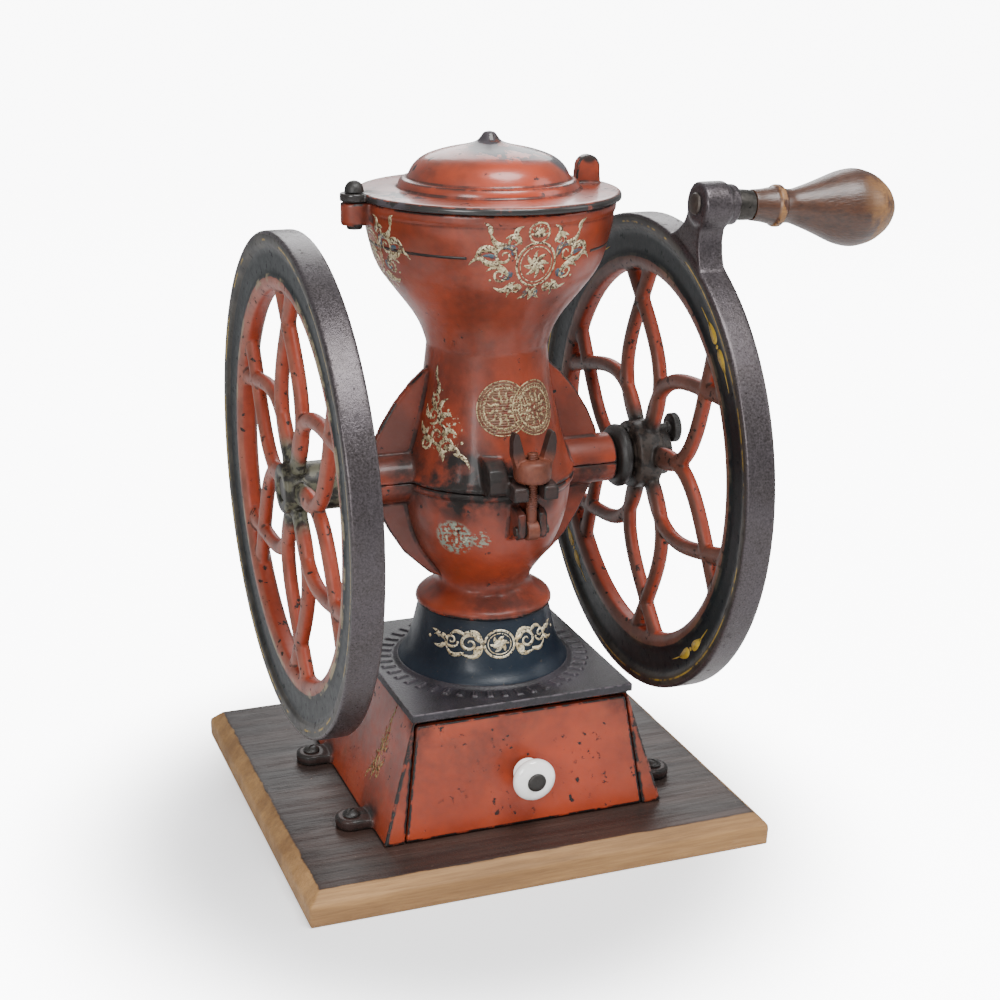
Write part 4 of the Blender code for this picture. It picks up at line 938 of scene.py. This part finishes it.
def makeHopperCase():
    parts = [lathe(dense(softened(hopperOutside + hopperInside), 0.002), 160)]
    half = webSize["thickness"] / 2
    for side in (-1, 1):
        parts.append(halfBoss(side, True))
        parts.append(slab([(side * x, z) for x, z in webSize["upper"]], -half, half, inFrontPlane))
        low = clamp["x"] - 0.0127 if side < 0 else clamp["x"] + 0.0042
        radius = clamp["seat"] - clamp["pivot"] - 0.0006
        fork = [(-0.0650, 0.2053)]
        for z in np.linspace(0.2053, 0.2180, 9):
            y = clamp["y"] - math.sqrt(max(radius ** 2 - (z - clamp["pivot"]) ** 2, 0))
            fork.append((max(y, -0.0650), z) if z < clamp["pivot"] + radius
                else (-0.0560, clamp["pivot"] + radius))
        fork += [(-0.0400, clamp["pivot"] + radius), (-0.0380, 0.2053)]
        parts.append(slab(fork, low, low + 0.0085, inSidePlane))
    knuckle = [(-0.0400, 0.2056), (-0.0520, 0.2056), (-0.0555, 0.2085), (-0.0560, 0.2150),
        (-0.0535, 0.2205), (-0.0480, 0.2235), (-0.0400, 0.2245)]
    parts.append(slab(knuckle, -0.0180, -0.0070, inSidePlane))
    parts.append(brick((-0.0056, 0.0440, 0.2053), (0.0056, 0.0597, 0.2150)))
    parts.append(lathe(softened([(0.0, 0.3556), (0.0072, 0.3556, 0.0006), (0.0072, 0.3440, 0.0012),
        (0.0, 0.3440)]), 48, origin=(-0.0740, 0, 0)))
    parts.append(brick((-0.0740, -0.0060, 0.3445), (-0.0645, 0.0060, 0.3553)))
    case = castPiece("hopperCase", joined(*parts), 0.85, 3)
    place(case, "frame", "case_enamel", hopperEnamel, "hopper_case")


makeLowerCase()
makeHopperCase()
print("case made")


# the lid

def makeLid():
    outside = [
        (0.0, 0.3895), (0.0030, 0.3889, 0.001), (0.0044, 0.3868, 0.0015), (0.0064, 0.3842, 0.003),
        (0.0130, 0.3822, 0.005),
        (0.0240, 0.3802, 0.006), (0.0347, 0.3767, 0.005), (0.0402, 0.3722, 0.004), (0.0426, 0.3676, 0.002),
        (0.0434, 0.3654, 0.0005), (0.0464, 0.3656, 0.0014), (0.0478, 0.3634, 0.0014),
        (0.0484, 0.3606, 0.0006),
        (0.0560, 0.3604, 0.003), (0.0690, 0.3600, 0.0012), (0.0703, 0.3588, 0.0008),
        (0.0703, 0.3562, 0.0005),
    ]
    inside = [(0.0590, 0.3562, 0.001), (0.0430, 0.3590, 0.002), (0.0380, 0.3650, 0.002),
        (0.0300, 0.3715, 0.003), (0.0, 0.3780)]
    parts = [lathe(dense(softened(outside + inside), 0.002), 176)]
    ear = softened([(0.0, 0.3605), (0.0075, 0.3605, 0.0008), (0.0075, 0.3563, 0.0006), (0.0, 0.3563)])
    parts.append(lathe(ear, 48, origin=(-0.0740, 0, 0)))
    parts.append(brick((-0.0740, -0.0068, 0.3565), (-0.0640, 0.0068, 0.3602)))
    tab = [(0.0635, 0.3590)] + [(0.0563 + 0.0066 * math.cos(a), 0.3690 + 0.0066 * math.sin(a))
        for a in np.linspace(0, math.pi, 17)] + [(0.0490, 0.3590)]
    parts.append(slab(tab, -0.00275, 0.00275, inFrontPlane))
    lid = castPiece("lidCasting", joined(*parts), 0.62, 1)
    place(lid, "lid", "case_enamel", lidEnamel, "lid")
    rivet = softened([(0.0, 0.3668), (0.0026, 0.3663, 0.0012), (0.0046, 0.3642, 0.0012),
        (0.0052, 0.3609, 0.0004), (0.0025, 0.3609, 0),
                      (0.0025, 0.3437, 0), (0.0042, 0.3437, 0.0003), (0.0040, 0.3420, 0.0005),
                      (0.0, 0.3414)])
    place(newPiece("lidRivet", lathe(rivet, 56, origin=(-0.0740, 0, 0))), "frame", "black_iron", blackIron,
        "lid_rivet")


makeLid()


# the drawer

def makeDrawer():
    slope = (sideAt(0.0190)[1] - sideAt(0.0850)[1]) / 0.066
    lean = math.atan(slope)
    middle, rise = 0.052, 0.033 / math.cos(lean)
    front = [(-0.0708, -rise), (0.0708, -rise), (0.0617, rise - 0.0014), (-0.0617, rise - 0.0014)]
    centre = (0.0, -sideAt(middle)[1] + 0.0022, middle)

    def onFront(u, v, w):
        return (u, centre[1] + v * math.sin(lean) - w * math.cos(lean),
            centre[2] + v * math.cos(lean) + w * math.sin(lean))

    plate = castPiece("drawerFront", slab(front, -0.0025, 0.0025, onFront), 0.62, 2)
    place(plate, "drawer", "base_enamel", drawerEnamel, "drawer_front")
    low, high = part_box("drawer_knob")
    x, z, back = 0.0, (low.z + high.z) / 2, high.y
    foot = back + 0.0019
    knob = softened([
        (0.0, 0.0174), (0.0066, 0.0174, 0.001), (0.0104, 0.0166, 0.002), (0.0126, 0.0142, 0.0018),
        (0.0118, 0.0110, 0.0018),
        (0.0062, 0.0075, 0.002), (0.0056, 0.0058, 0.0015), (0.0078, 0.0022, 0.0008),
        (0.0078, 0.0019, 0.0002), (0.0, 0.0019),
    ])
    piece = newPiece("drawerKnob", lathe(knob, 96, axis=(0, -1, 0), origin=(x, foot, z)))
    place(piece, "drawer", "porcelain", porcelain, "drawer_knob")
    screw = softened([(0.0, 0.0196), (0.0030, 0.0193, 0.0012), (0.0051, 0.0183, 0.0008),
        (0.0055, 0.0172, 0.0003), (0.0016, 0.0168, 0), (0.0016, -0.0210, 0), (0.0, -0.0214)])
    piece = newPiece("knobScrew", lathe(screw, 64, axis=(0, -1, 0), origin=(x, foot, z)))
    place(piece, "drawer", "black_iron", blackIron, "knob_screw")


makeDrawer()
print("lid and drawer made")


# the wheels

wheel = {
    "count": 6, "start": 0.0080, "node": 0.0890, "halfWidth": 0.0215, "skew": 0.85, "rod": (0.0045, 0.0041),
    "flare": 0.45,
    "leftX": -0.1093, "rightX": 0.0988, "leftTurn": math.radians(87.0), "rightTurn": math.radians(82.3),
    "crankTurn": math.radians(112.3), "crankRadius": 0.1633, "crankX": 0.1010, "tilt": math.radians(3.7),
}
rimSection = [  # radius, distance from the wheel's middle plane, rounding
    (0.1365, -0.0084, 0.0014), (0.1365, 0.0084, 0.0014), (0.1340, 0.0084, 0.001), (0.1292, 0.0078, 0.002),
    (0.1281, 0.0058, 0.0007), (0.1270, 0.0060, 0.0005),
    (0.1262, 0.0052, 0.0006), (0.1150, 0.0050, 0.002), (0.1134, 0.0058, 0.0010), (0.1095, 0.0062, 0.0022),
    (0.1052, 0.0036, 0.0020),
    (0.1052, -0.0036, 0.0020), (0.1095, -0.0062, 0.0022), (0.1134, -0.0058, 0.0010),
    (0.1150, -0.0050, 0.002), (0.1262, -0.0052, 0.0006),
    (0.1270, -0.0060, 0.0005), (0.1281, -0.0058, 0.0007), (0.1292, -0.0078, 0.002),
    (0.1340, -0.0084, 0.001),
]


def petalRod(x, turn, side):
    along = np.linspace(0.0125, 0.1100, 64)
    share = (along - wheel["start"]) / (wheel["node"] - wheel["start"])
    across = side * wheel["halfWidth"] * np.sin(np.pi * share ** wheel["skew"])
    path = np.stack([along, across], 1)
    ahead = np.gradient(path, axis=0)
    ahead /= np.linalg.norm(ahead, axis=1)[:, None]
    normal = np.stack([-ahead[:, 1], ahead[:, 0]], 1)
    inPlane, deep = wheel["rod"]
    points, sides = [], 20
    for centre, out, radius in zip(path, normal, along):
        wide = inPlane * (1 + wheel["flare"] * math.exp(-(radius - 0.0125) / 0.011))
        wide += inPlane * 0.75 * math.exp(-(0.110 - radius) / 0.006)
        for angle in np.linspace(0, 2 * np.pi, sides, endpoint=False):
            u, v = centre + out * wide * math.cos(angle)
            points.append((
                x + deep * math.sin(angle), u * math.cos(turn) - v * math.sin(turn),
                axleHeight + u * math.sin(turn) + v * math.cos(turn),
            ))
    faces = [
        (i * sides + a, i * sides + (a + 1) % sides, (i + 1) * sides + (a + 1) % sides, (i + 1) * sides + a)
        for i in range(len(path) - 1) for a in range(sides)
    ]
    last = (len(path) - 1) * sides
    return points, faces + [tuple(range(sides))[::-1], tuple(range(last, last + sides))]


def wheelShapes(x, turn, hub):
    rim = lathe(dense(softened(rimSection, steps=4), 0.003), 256, axis=(1, 0, 0), origin=(x, 0, axleHeight))
    rods = [petalRod(x, turn + 2 * math.pi * i / wheel["count"], side) for i in range(wheel["count"])
        for side in (-1, 1)]
    return [rim, *rods, lathe(dense(softened(hub), 0.003), 72, axis=(1, 0, 0), origin=(0, 0, axleHeight))]


def crankPoint(along):
    return Vector((wheel["crankX"], wheel["crankRadius"] * math.cos(wheel["crankTurn"]),
                   axleHeight + wheel["crankRadius"] * math.sin(wheel["crankTurn"]))) + along * crankAxis


crankAxis = Vector((math.cos(wheel["tilt"]), 0, -math.sin(wheel["tilt"])))


def crankArm():
    outline = [(r, 0.0088 + 0.0170 * ((0.1540 - r) / 0.0240) ** 2) for r in np.linspace(0.1300, 0.1540, 13)]
    head = [(wheel["crankRadius"] + 0.0118 * math.cos(a), 0.0118 * math.sin(a))
        for a in np.radians(np.linspace(112, 0, 15))]
    outline = outline + head
    outline = outline + [(u, -v) for u, v in reversed(outline[:-1])]
    turn, x, half = wheel["crankTurn"], wheel["rightX"], 0.0073
    arm = slab(outline, x - half, x + half, lambda u, v, w: (
        w, u * math.cos(turn) - v * math.sin(turn), axleHeight + u * math.sin(turn) + v * math.cos(turn)))
    boss = lathe(softened([(0.0, 0.0112), (0.0105, 0.0112, 0.0008), (0.0105, -0.0102, 0.0008),
        (0.0, -0.0102)]), 64, axis=crankAxis, origin=crankPoint(0))
    return [arm, boss]


def makeWheels():
    bore = 0.0066
    leftHub = [(0.0136, -0.1177, 0.0012), (0.0136, -0.0800, 0.0012), (bore, -0.0800, 0.0002),
        (bore, -0.1177, 0.0006)]
    left = castPiece("leftWheelCasting", joined(*wheelShapes(wheel["leftX"], wheel["leftTurn"], leftHub)),
        0.92, 6)
    place(left, "wheels", "wheel_enamel", wornWheelPaint("wornLeftWheelPaint", 0.8, "#8A5444", "#1F1D18",
        "#545243", 0.8), "left_wheel")
    rightHub = [
        (0.0136, 0.0860, 0.001), (bore, 0.0860, 0.0003), (bore, 0.1110, 0.0006), (0.0136, 0.1110, 0.001),
        (0.0136, 0.1025, 0.002),
        (0.0195, 0.1025, 0.0015), (0.0195, 0.0875, 0.0015), (0.0136, 0.0875, 0.001),
    ]
    right = castPiece("rightWheelCasting", joined(*wheelShapes(wheel["rightX"], wheel["rightTurn"],
        rightHub[::-1]), *crankArm()), 0.92, 6)
    place(right, "wheels", "wheel_enamel", wornWheelPaint("wornRightWheelPaint", 0.95, "#5E3D32", "#1D1917",
        "#38302B", 0.12), "right_wheel")
    axle = softened([(0.0, -0.1165), (0.00635, -0.1165, 0.0008), (0.00635, 0.1105, 0.0008), (0.0, 0.1105)])
    place(newPiece("axleRod", lathe(axle, 56, axis=(1, 0, 0), origin=(0, 0, axleHeight))), "wheels",
        "bare_iron", darkSteel, "axle")


makeWheels()


def makeHubFittings():
    collar = softened([
        (0.0150, 0.0086, 0.0008), (0.0178, 0.0066, 0.0012), (0.0182, 0.0036, 0.0012),
        (0.0160, 0.0008, 0.0012), (0.0110, 0.0, 0.0006),
        (0.0067, 0.0, 0.0002), (0.0067, 0.0050, 0.0004), (0.0116, 0.0056, 0.001),
    ])
    piece = newPiece("adjustingCollar", lathe(collar, 96, axis=(1, 0, 0), origin=(0.0765, 0, axleHeight)))
    place(piece, "wheels", "black_iron", blackIron, "adjusting_collar")
    screw = softened([
        (0.0, 0.0322), (0.0050, 0.0322, 0.001), (0.0072, 0.0330, 0.0006), (0.0085, 0.0326, 0.0004),
        (0.0085, 0.0286, 0.0004), (0.0072, 0.0282, 0.0006),
        (0.0036, 0.0280, 0.0006), (0.0036, 0.0264, 0.0004), (0.0030, 0.0260, 0.0002),
        (0.0030, 0.0006, 0.0004), (0.0, 0.0),
    ])
    points, faces = lathe(dense(screw, 0.0012), 216, axis=(1, 0, 0),
        origin=(0.0854, 0, axleHeight + 0.0135))
    centre = np.array([0, 0, axleHeight + 0.0135])
    out = (points - centre) * (0, 1, 1)
    radius = np.linalg.norm(out, axis=1)
    angle = np.arctan2(out[:, 1], out[:, 2])
    knurl = (radius > 0.0080) * 0.00028 * (0.5 - 0.5 * np.cos(54 * angle))
    points = points - out / np.maximum(radius, 1e-6)[:, None] * knurl[:, None]
    place(newPiece("adjustingScrew", (points, faces)), "adjuster", "black_iron", blackIron,
        "adjusting_screw")


makeHubFittings()


def makeCrank():
    pin = softened([(0.0, 0.0965), (0.0040, 0.0960, 0.0004), (0.0040, -0.0105, 0),
        (0.0058, -0.0105, 0.0003), (0.0050, -0.0118, 0.0005), (0.0, -0.0123)])
    place(newPiece("crankPin", lathe(pin, 48, axis=crankAxis, origin=crankPoint(0))), "wheels", "bare_iron",
        castIron, "crank_pin")
    ferrule = softened([(0.0077, 0.0212, 0.0003), (0.0080, 0.0160, 0.002), (0.0079, 0.0118, 0.0004),
        (0.0043, 0.0116, 0.0001), (0.0043, 0.0212, 0.0001)])
    place(newPiece("ferrule", lathe(ferrule, 72, axis=crankAxis, origin=crankPoint(0))), "handle",
        "bare_iron", darkSteel, "ferrule")
    grip = softened([
        (0.0, 0.1070), (0.0070, 0.1058, 0.002), (0.0130, 0.1010, 0.003), (0.0185, 0.0930, 0.004),
        (0.0210, 0.0830, 0.004), (0.0196, 0.0740, 0.005),
        (0.0125, 0.0560, 0.008), (0.0087, 0.0440, 0.003), (0.0095, 0.0392, 0.001), (0.0112, 0.0378, 0.0006),
        (0.0112, 0.0350, 0.0006), (0.0100, 0.0338, 0.0008),
        (0.0086, 0.0270, 0.003), (0.0082, 0.0216, 0.0004), (0.0044, 0.0216, 0), (0.0044, 0.0968, 0),
        (0.0, 0.0968),
    ])
    points, faces = lathe(dense(grip, 0.0012), 144, axis=crankAxis, origin=crankPoint(0))
    grain = Vector((0.3, 0.1, 0.9))
    for i, point in enumerate(points):  # the shallow flats and dents of hand turning
        away = Vector(point) - crankPoint(0)
        out = away - away.dot(crankAxis) * crankAxis
        if out.length > 0.005:
            dent = 0.00035 * (0.5 + 0.5 * noise.noise(Vector(point) * 45 + grain))
            points[i] = point - np.array(out.normalized()) * dent
    start = crankPoint(0)
    place(newPiece("handleGrip", (points, faces)), "handle", "grip_wood",
        turnedMaple("turnedMaple", tuple(start), tuple(crankAxis)), "handle_grip")


makeCrank()
print("wheels and crank made")


# the clamp

def makeClamp():
    x, y, seat, pivot = clamp["x"], clamp["y"], clamp["seat"], clamp["pivot"]
    barrel = lathe(dense(softened([
        (0.0066, 0.0125, 0.001), (0.0096, 0.0115, 0.0015), (0.0104, 0.0080, 0.002),
        (0.0100, 0.0020, 0.0015), (0.0088, 0.0, 0.0006), (0.0034, 0.0, 0.0002), (0.0034, 0.0125, 0.0004),
    ]), 0.001), 72, origin=(x, y, seat))
    parts = [barrel]
    for side in (-1, 1):
        wing = softened([
            (side * 0.0052, 0.0090, 0.001), (side * 0.0098, 0.0080, 0.001), (side * 0.0122, 0.0150, 0.003),
            (side * 0.0124, 0.0230, 0.002), (side * 0.0112, 0.0272, 0.0012),
            (side * 0.0090, 0.0268, 0.0012), (side * 0.0070, 0.0200, 0.003), (side * 0.0050, 0.0130, 0.001),
        ], steps=6)
        parts.append(slab(wing, -0.0031, 0.0031, lambda u, v, w: (x + u, y + w, seat + v)))
    nut = castPiece("wingNut", joined(*parts), 0.34, 4)
    place(nut, "wing_nut", "bare_iron", rustyClampIron, "wing_nut")
    rows, sides, pitch = 150, 32, 0.00125
    heights = np.linspace(pivot + 0.004, pivot + 0.0428, rows)
    points = []
    for height in heights:
        for angle in np.linspace(0, 2 * np.pi, sides, endpoint=False):
            wave = 0.5 - 0.5 * math.cos(2 * math.pi * (height / pitch) - angle)
            thread = 0.00038 * wave * (height > pivot + 0.012)
            radius = 0.0030 - thread
            points.append((x + radius * math.cos(angle), y + radius * math.sin(angle), height))
    faces = [(i * sides + a, i * sides + (a + 1) % sides, (i + 1) * sides + (a + 1) % sides,
        (i + 1) * sides + a) for i in range(rows - 1) for a in range(sides)]
    last = (rows - 1) * sides
    shaft = (points, faces + [tuple(range(sides))[::-1], tuple(range(last, last + sides))])
    eye = lathe(softened([(0.0055, -0.0033, 0.0006), (0.0055, 0.0033, 0.0006), (0.0030, 0.0033, 0.0002),
        (0.0030, -0.0033, 0.0002)]), 56, axis=(1, 0, 0), origin=(x, y, pivot))
    place(newPiece("swingBolt", joined(shaft, eye)), "swing_bolt", "bare_iron", rustyClampIron,
        "swing_bolt")


makeClamp()
print("clamp made")


# painted ornament: strokes of film laid on the enamel

film = {"proud": 0.00010, "sunk": 0.00030}


def stroke(path, widths, onSurface, proud=film["proud"]):
    path = np.asarray(path, float)
    ahead = np.gradient(path, axis=0)
    ahead /= np.maximum(np.linalg.norm(ahead, axis=1), 1e-9)[:, None]
    normal = np.stack([-ahead[:, 1], ahead[:, 0]], 1)
    points = []
    for (u, v), (nu, nv), width in zip(path, normal, widths):
        half = max(width, 0.06) / 2000
        for lift, side in ((proud, 1), (proud, -1), (-film["sunk"], -1), (-film["sunk"], 1)):
            points.append(onSurface(u + nu * half * side, v + nv * half * side, lift))
    faces = [(4 * i + a, 4 * i + (a + 1) % 4, 4 * i + 4 + (a + 1) % 4, 4 * i + 4 + a)
        for i in range(len(path) - 1) for a in range(4)]
    last = 4 * (len(path) - 1)
    return points, faces + [(3, 2, 1, 0), (last, last + 1, last + 2, last + 3)]


def leafLine(start, end, bend, width, count=14):
    start, end = np.array(start, float) / 1000, np.array(end, float) / 1000
    across = np.array([-(end - start)[1], (end - start)[0]])
    share = np.linspace(0, 1, count)
    path = start + (end - start) * share[:, None] + across * (bend * np.sin(np.pi * share))[:, None]
    return path, width * np.sin(np.pi * share ** 0.62) ** 0.8 + 0.08


def scrollLine(centre, radius, start, turn, width):
    share = np.linspace(0, 1, 30)
    angle = np.radians(start + turn * share)
    reach = radius * (1 - 0.86 * share) / 1000
    path = np.array(centre) / 1000 + np.stack([reach * np.cos(angle), reach * np.sin(angle)], 1)
    return path, width * (0.35 + 0.9 * np.sin(np.pi * share ** 0.5))


def ringLine(centre, radius, width, count=48, squash=1.0):
    angle = np.linspace(0, 2 * np.pi, count)
    path = np.array(centre) / 1000 + np.stack([radius * np.cos(angle), squash * radius * np.sin(angle)],
        1) / 1000
    return path, np.full(count, width)


def dotLine(centre, size):
    share = np.linspace(-0.98, 0.98, 7)
    path = np.array(centre) / 1000 + np.stack([share * size / 2000, 0 * share], 1)
    return path, size * np.sqrt(1 - share ** 2)


def evenTurns(count):
    return np.linspace(0, 2 * np.pi, count + 1)[:-1]


def mirrored(lines):
    return lines + [(path * (-1, 1), widths) for path, widths in lines]


def profileAt(profile, height):
    heights = np.array([corner[1] for corner in profile])
    order = np.argsort(heights)
    return np.interp(height, heights[order], np.array([corner[0] for corner in profile])[order])


def roundBody(profile, middleAngle, middleHeight):
    smooth = softened(profile)
    middle = profileAt(smooth, middleHeight)

    def onBody(u, v, lift):
        height = middleHeight + v
        angle = math.radians(middleAngle) + u / middle
        slope = (profileAt(smooth, height + 0.0005) - profileAt(smooth, height - 0.0005)) / 0.001
        size = math.hypot(1, slope)
        radius = profileAt(smooth, height) + lift / size
        return (radius * math.cos(angle), radius * math.sin(angle), height - lift * slope / size)

    return onBody


leafCircle = {"radius": 0.1205, "fromMiddle": 0.0051}  # in the channel of a wheel


def wheelFace(x, side, turn):
    def onFace(u, v, lift):
        angle = turn + u / leafCircle["radius"]
        radius = leafCircle["radius"] + v
        return (x + side * (leafCircle["fromMiddle"] + lift), radius * math.cos(angle),
            axleHeight + radius * math.sin(angle))

    return onFace


cartouche = mirrored([
    leafLine((9, 10), (17, 13), 0.3, 3.0), leafLine((14, 9), (24, 16), -0.25, 3.4),
    leafLine((20, 6), (32, 2), 0.3, 3.6), leafLine((18, 1), (30, 7), -0.3, 3.0),
    leafLine((15, -6), (26, -4), 0.3, 3.0), leafLine((12, -10), (22, -13), -0.3, 3.2),
    leafLine((6, -13), (14, -19), 0.3, 2.8), leafLine((2, -13), (7, -20), -0.2, 2.4),
    leafLine((24, 15), (27, 21), 0.2, 2.4), leafLine((11, 13), (8, 19), -0.3, 2.4),
    scrollLine((17, 4), 6.0, 200, -560, 1.3), scrollLine((19, -6), 4.4, 120, 520, 1.1),
    scrollLine((9, -13), 3.6, 60, -480, 1.0), scrollLine((12, 11), 3.6, 250, 470, 1.0),
    leafLine((26, 2), (35, -1), 0.2, 1.8), dotLine((21, 10), 1.6), dotLine((24, -9), 1.4),
]) + [
    ringLine((0, -1), 10.5, 1.1, squash=1.08), ringLine((0, -1), 8.6, 0.5, squash=1.08),
    ringLine((0, 15.5), 5.2, 1.0), dotLine((0, 15.5), 2.2),
    *[leafLine((0, 13.5), (5.0 * math.sin(a), 13.5 + 6.2 * math.cos(a)), 0.0, 1.6)
        for a in np.linspace(-1.3, 1.3, 7)],
    leafLine((0, -14), (0, -21), 0.1, 3.4),
]
rosette = [leafLine((0, -1), (7.2 * math.cos(a), -1 + 7.2 * math.sin(a)), 0.15, 2.4)
    for a in evenTurns(8)] + [dotLine((0, -1), 2.6)]
blueLeaves = mirrored([leafLine((12, 3), (18, 8), 0.4, 3.6), leafLine((13, -4), (19, -7), -0.3, 3.2),
    leafLine((3, -15), (2, -20), 0.2, 2.2), leafLine((21, 3), (28, 4), 0.1, 2.2)])


def layFilm(name, shapes, slot, finish, body="frame"):
    place(newPiece(name, joined(*shapes), clean=False), body, slot, finish)


def makeOrnament():
    for side, angle, height in (("Front", -88.0, 0.3315), ("Left", -181.0, 0.3315)):
        surface = roundBody(hopperOutside, angle, height)
        shapes = [stroke(path, widths, surface) for path, widths in cartouche + rosette]
        layFilm("hopperCartouche" + side, shapes, "case_enamel", goldOnRed)
        shapes = [stroke(path, widths, surface) for path, widths in blueLeaves]
        layFilm("hopperCartoucheBlue" + side, shapes, "case_enamel", blueFilm)
    around = [(u / 1000, 0.0) for u in np.linspace(-200.5, 200.5, 240)]
    stripe = roundBody(hopperOutside, -88.0, 0.3340)
    pieces = [stroke(part, np.full(len(part), 1.4), stripe)
        for part in ([p for p in around if 0.036 < p[0]], [p for p in around if p[0] < -0.036])]
    layFilm("hopperPinstripe", pieces, "case_enamel", blackStripe)
    band = mirrored([
        scrollLine((17, 0), 6.5, 180, -520, 1.5), scrollLine((28, 1), 4.6, 200, 500, 1.2),
        leafLine((10, 0), (22, 6), 0.35, 2.6), leafLine((10, 0), (22, -7), -0.35, 2.8),
        leafLine((20, 5), (30, 3), 0.3, 2.0), leafLine((20, -6), (31, -3), -0.3, 2.2),
        leafLine((30, 0), (40, 2), 0.2, 2.8), leafLine((31, -1), (39, -4), -0.2, 2.4),
        leafLine((9, 2), (14, 8), -0.3, 2.2), leafLine((9, -2), (14, -8), 0.3, 2.2),
        leafLine((36, 1), (42, 5), 0.2, 1.8), dotLine((43, 0), 1.8), dotLine((24, 0), 1.4),
    ]) + [ringLine((0, 0), 8.6, 1.3), ringLine((0, 0), 6.6, 0.5)]
    band += [leafLine((0, 0), (5.6 * math.cos(a), 5.6 * math.sin(a)), 0.2, 2.6) for a in evenTurns(6)]
    pedestalSide = [(0.0372, 0.1279, 0.0006), (0.0395, 0.1180, 0.003), (0.0425, 0.1060, 0.004),
        (0.0452, 0.0990, 0.003)]
    surface = roundBody(pedestalSide, -97.0, 0.1150)
    lower = [(path * (1, 0.86), widths) for path, widths in band]
    layFilm("pedestalScrollBand", [stroke(path, widths, surface) for path, widths in lower], "base_enamel",
        goldOnBlue)
    spray = [
        leafLine((-9, 22), (-10, 31), 0.1, 2.0), leafLine((-8, 14), (-10, 24), -0.2, 3.0),
        leafLine((-6, 8), (-11, 16), 0.2, 3.4), leafLine((-4, 6), (1, 14), 0.2, 2.6),
        leafLine((-9, 2), (-15, 9), 0.2, 3.0), leafLine((-3, 0), (5, 5), 0.3, 3.4),
        leafLine((-10, -6), (-17, -1), 0.2, 3.2), leafLine((0, -6), (9, -4), 0.3, 3.4),
        leafLine((-6, -10), (-14, -12), -0.3, 3.4), leafLine((2, -12), (12, -14), 0.2, 3.2),
        leafLine((8, -14), (17, -21), 0.2, 2.2), leafLine((-2, -12), (3, -19), 0.2, 2.6),
        scrollLine((-3, -6), 6.4, 90, -520, 1.6), scrollLine((-8, 4), 5.0, 250, 500, 1.4),
        scrollLine((3, -11), 4.6, 0, 480, 1.3), scrollLine((-10, -11), 4.0, 60, -500, 1.2),
        scrollLine((-8, 12), 3.2, 180, -420, 1.0), dotLine((-4, 18), 1.2), dotLine((2, 8), 1.4),
        dotLine((-14, 3), 1.2), dotLine((12, -8), 1.6),
    ]
    surface = roundBody(hopperOutside, -146.0, 0.2390)
    layFilm("caseSpray", [stroke(path, widths, surface) for path, widths in spray], "case_enamel",
        goldOnRed)
    for name, angle, height in (("caseMedalLeft", -96.0, 0.2495), ("caseMedalRight", -66.0, 0.2480)):
        surface = roundBody(hopperOutside, angle, height)
        medal = [ringLine((0, 0), 14.4, 0.6, 72), ringLine((0, 0), 12.6, 0.3, 72)]
        medal += [leafLine((10.6 * math.cos(a), 10.6 * math.sin(a)),
            (12.0 * math.cos(a + 0.22), 12.0 * math.sin(a + 0.22)), 0.2, 0.9, 8)
            for a in evenTurns(36)]
        for ringSize, petals in ((9.4, 12), (5.6, 8)):
            medal += [leafLine((0.55 * ringSize * math.cos(a), 0.55 * ringSize * math.sin(a)),
                (ringSize * math.cos(a + 0.2), ringSize * math.sin(a + 0.2)), 0.3, 1.3, 9)
                for a in evenTurns(petals)]
        medal += [dotLine((0, 0), 2.0)]
        layFilm(name, [stroke(path, widths, surface) for path, widths in medal], "case_enamel", paleGold)
        bands = []
        for rise in np.arange(-13.0, 13.5, 1.3):
            reach = math.sqrt(14.2 ** 2 - rise ** 2)
            row = np.stack([np.linspace(-reach, reach, 30), np.full(30, rise)], 1) / 1000
            bands.append(stroke(row, np.full(30, 1.32), surface, film["proud"] * 0.5))
        layFilm(name + "Ground", bands, "case_enamel", goldGround)
    motif = mirrored([leafLine((1.6, 0), (16, 0.5), 0.02, 5.6),
        leafLine((12, 0.4), (26, 0.2), 0.0, 0.7)]) + [dotLine((0, 0), 2.4)]
    for name, x, face in (("left", wheel["leftX"], 1), ("right", wheel["rightX"], -1)):
        faces = [wheelFace(x, face, math.radians(angle)) for angle in (-131, -46, 55, 137)]
        shapes = [stroke(path, widths, surface) for surface in faces for path, widths in motif]
        layFilm(name + "WheelLeaves", shapes, "wheel_enamel", yellowOnBlue, "wheels")

    def onLeftSide(u, v, lift):
        return (-sideAt(0.056 + v)[0] - lift, -0.030 + u, 0.056 + v)

    low = [(path * (0.55, 1.0), widths) for path, widths in spray]
    layFilm("baseSpray", [stroke(path, widths, onLeftSide) for path, widths in low], "base_enamel",
        dullGold)


makeOrnament()
print("ornament made")


# the CAD solids that still show

for name, node in nodes.items():
    if node.hide_render:
        continue
    finish = darkSteel
    if name == "drawer_box":
        finish = tinplate
    elif any(word in name for word in ("bolt", "screw", "nut")):
        finish = blackIron
    node.data.materials.clear()
    node.data.materials.append(finish)

print("pieces in place")
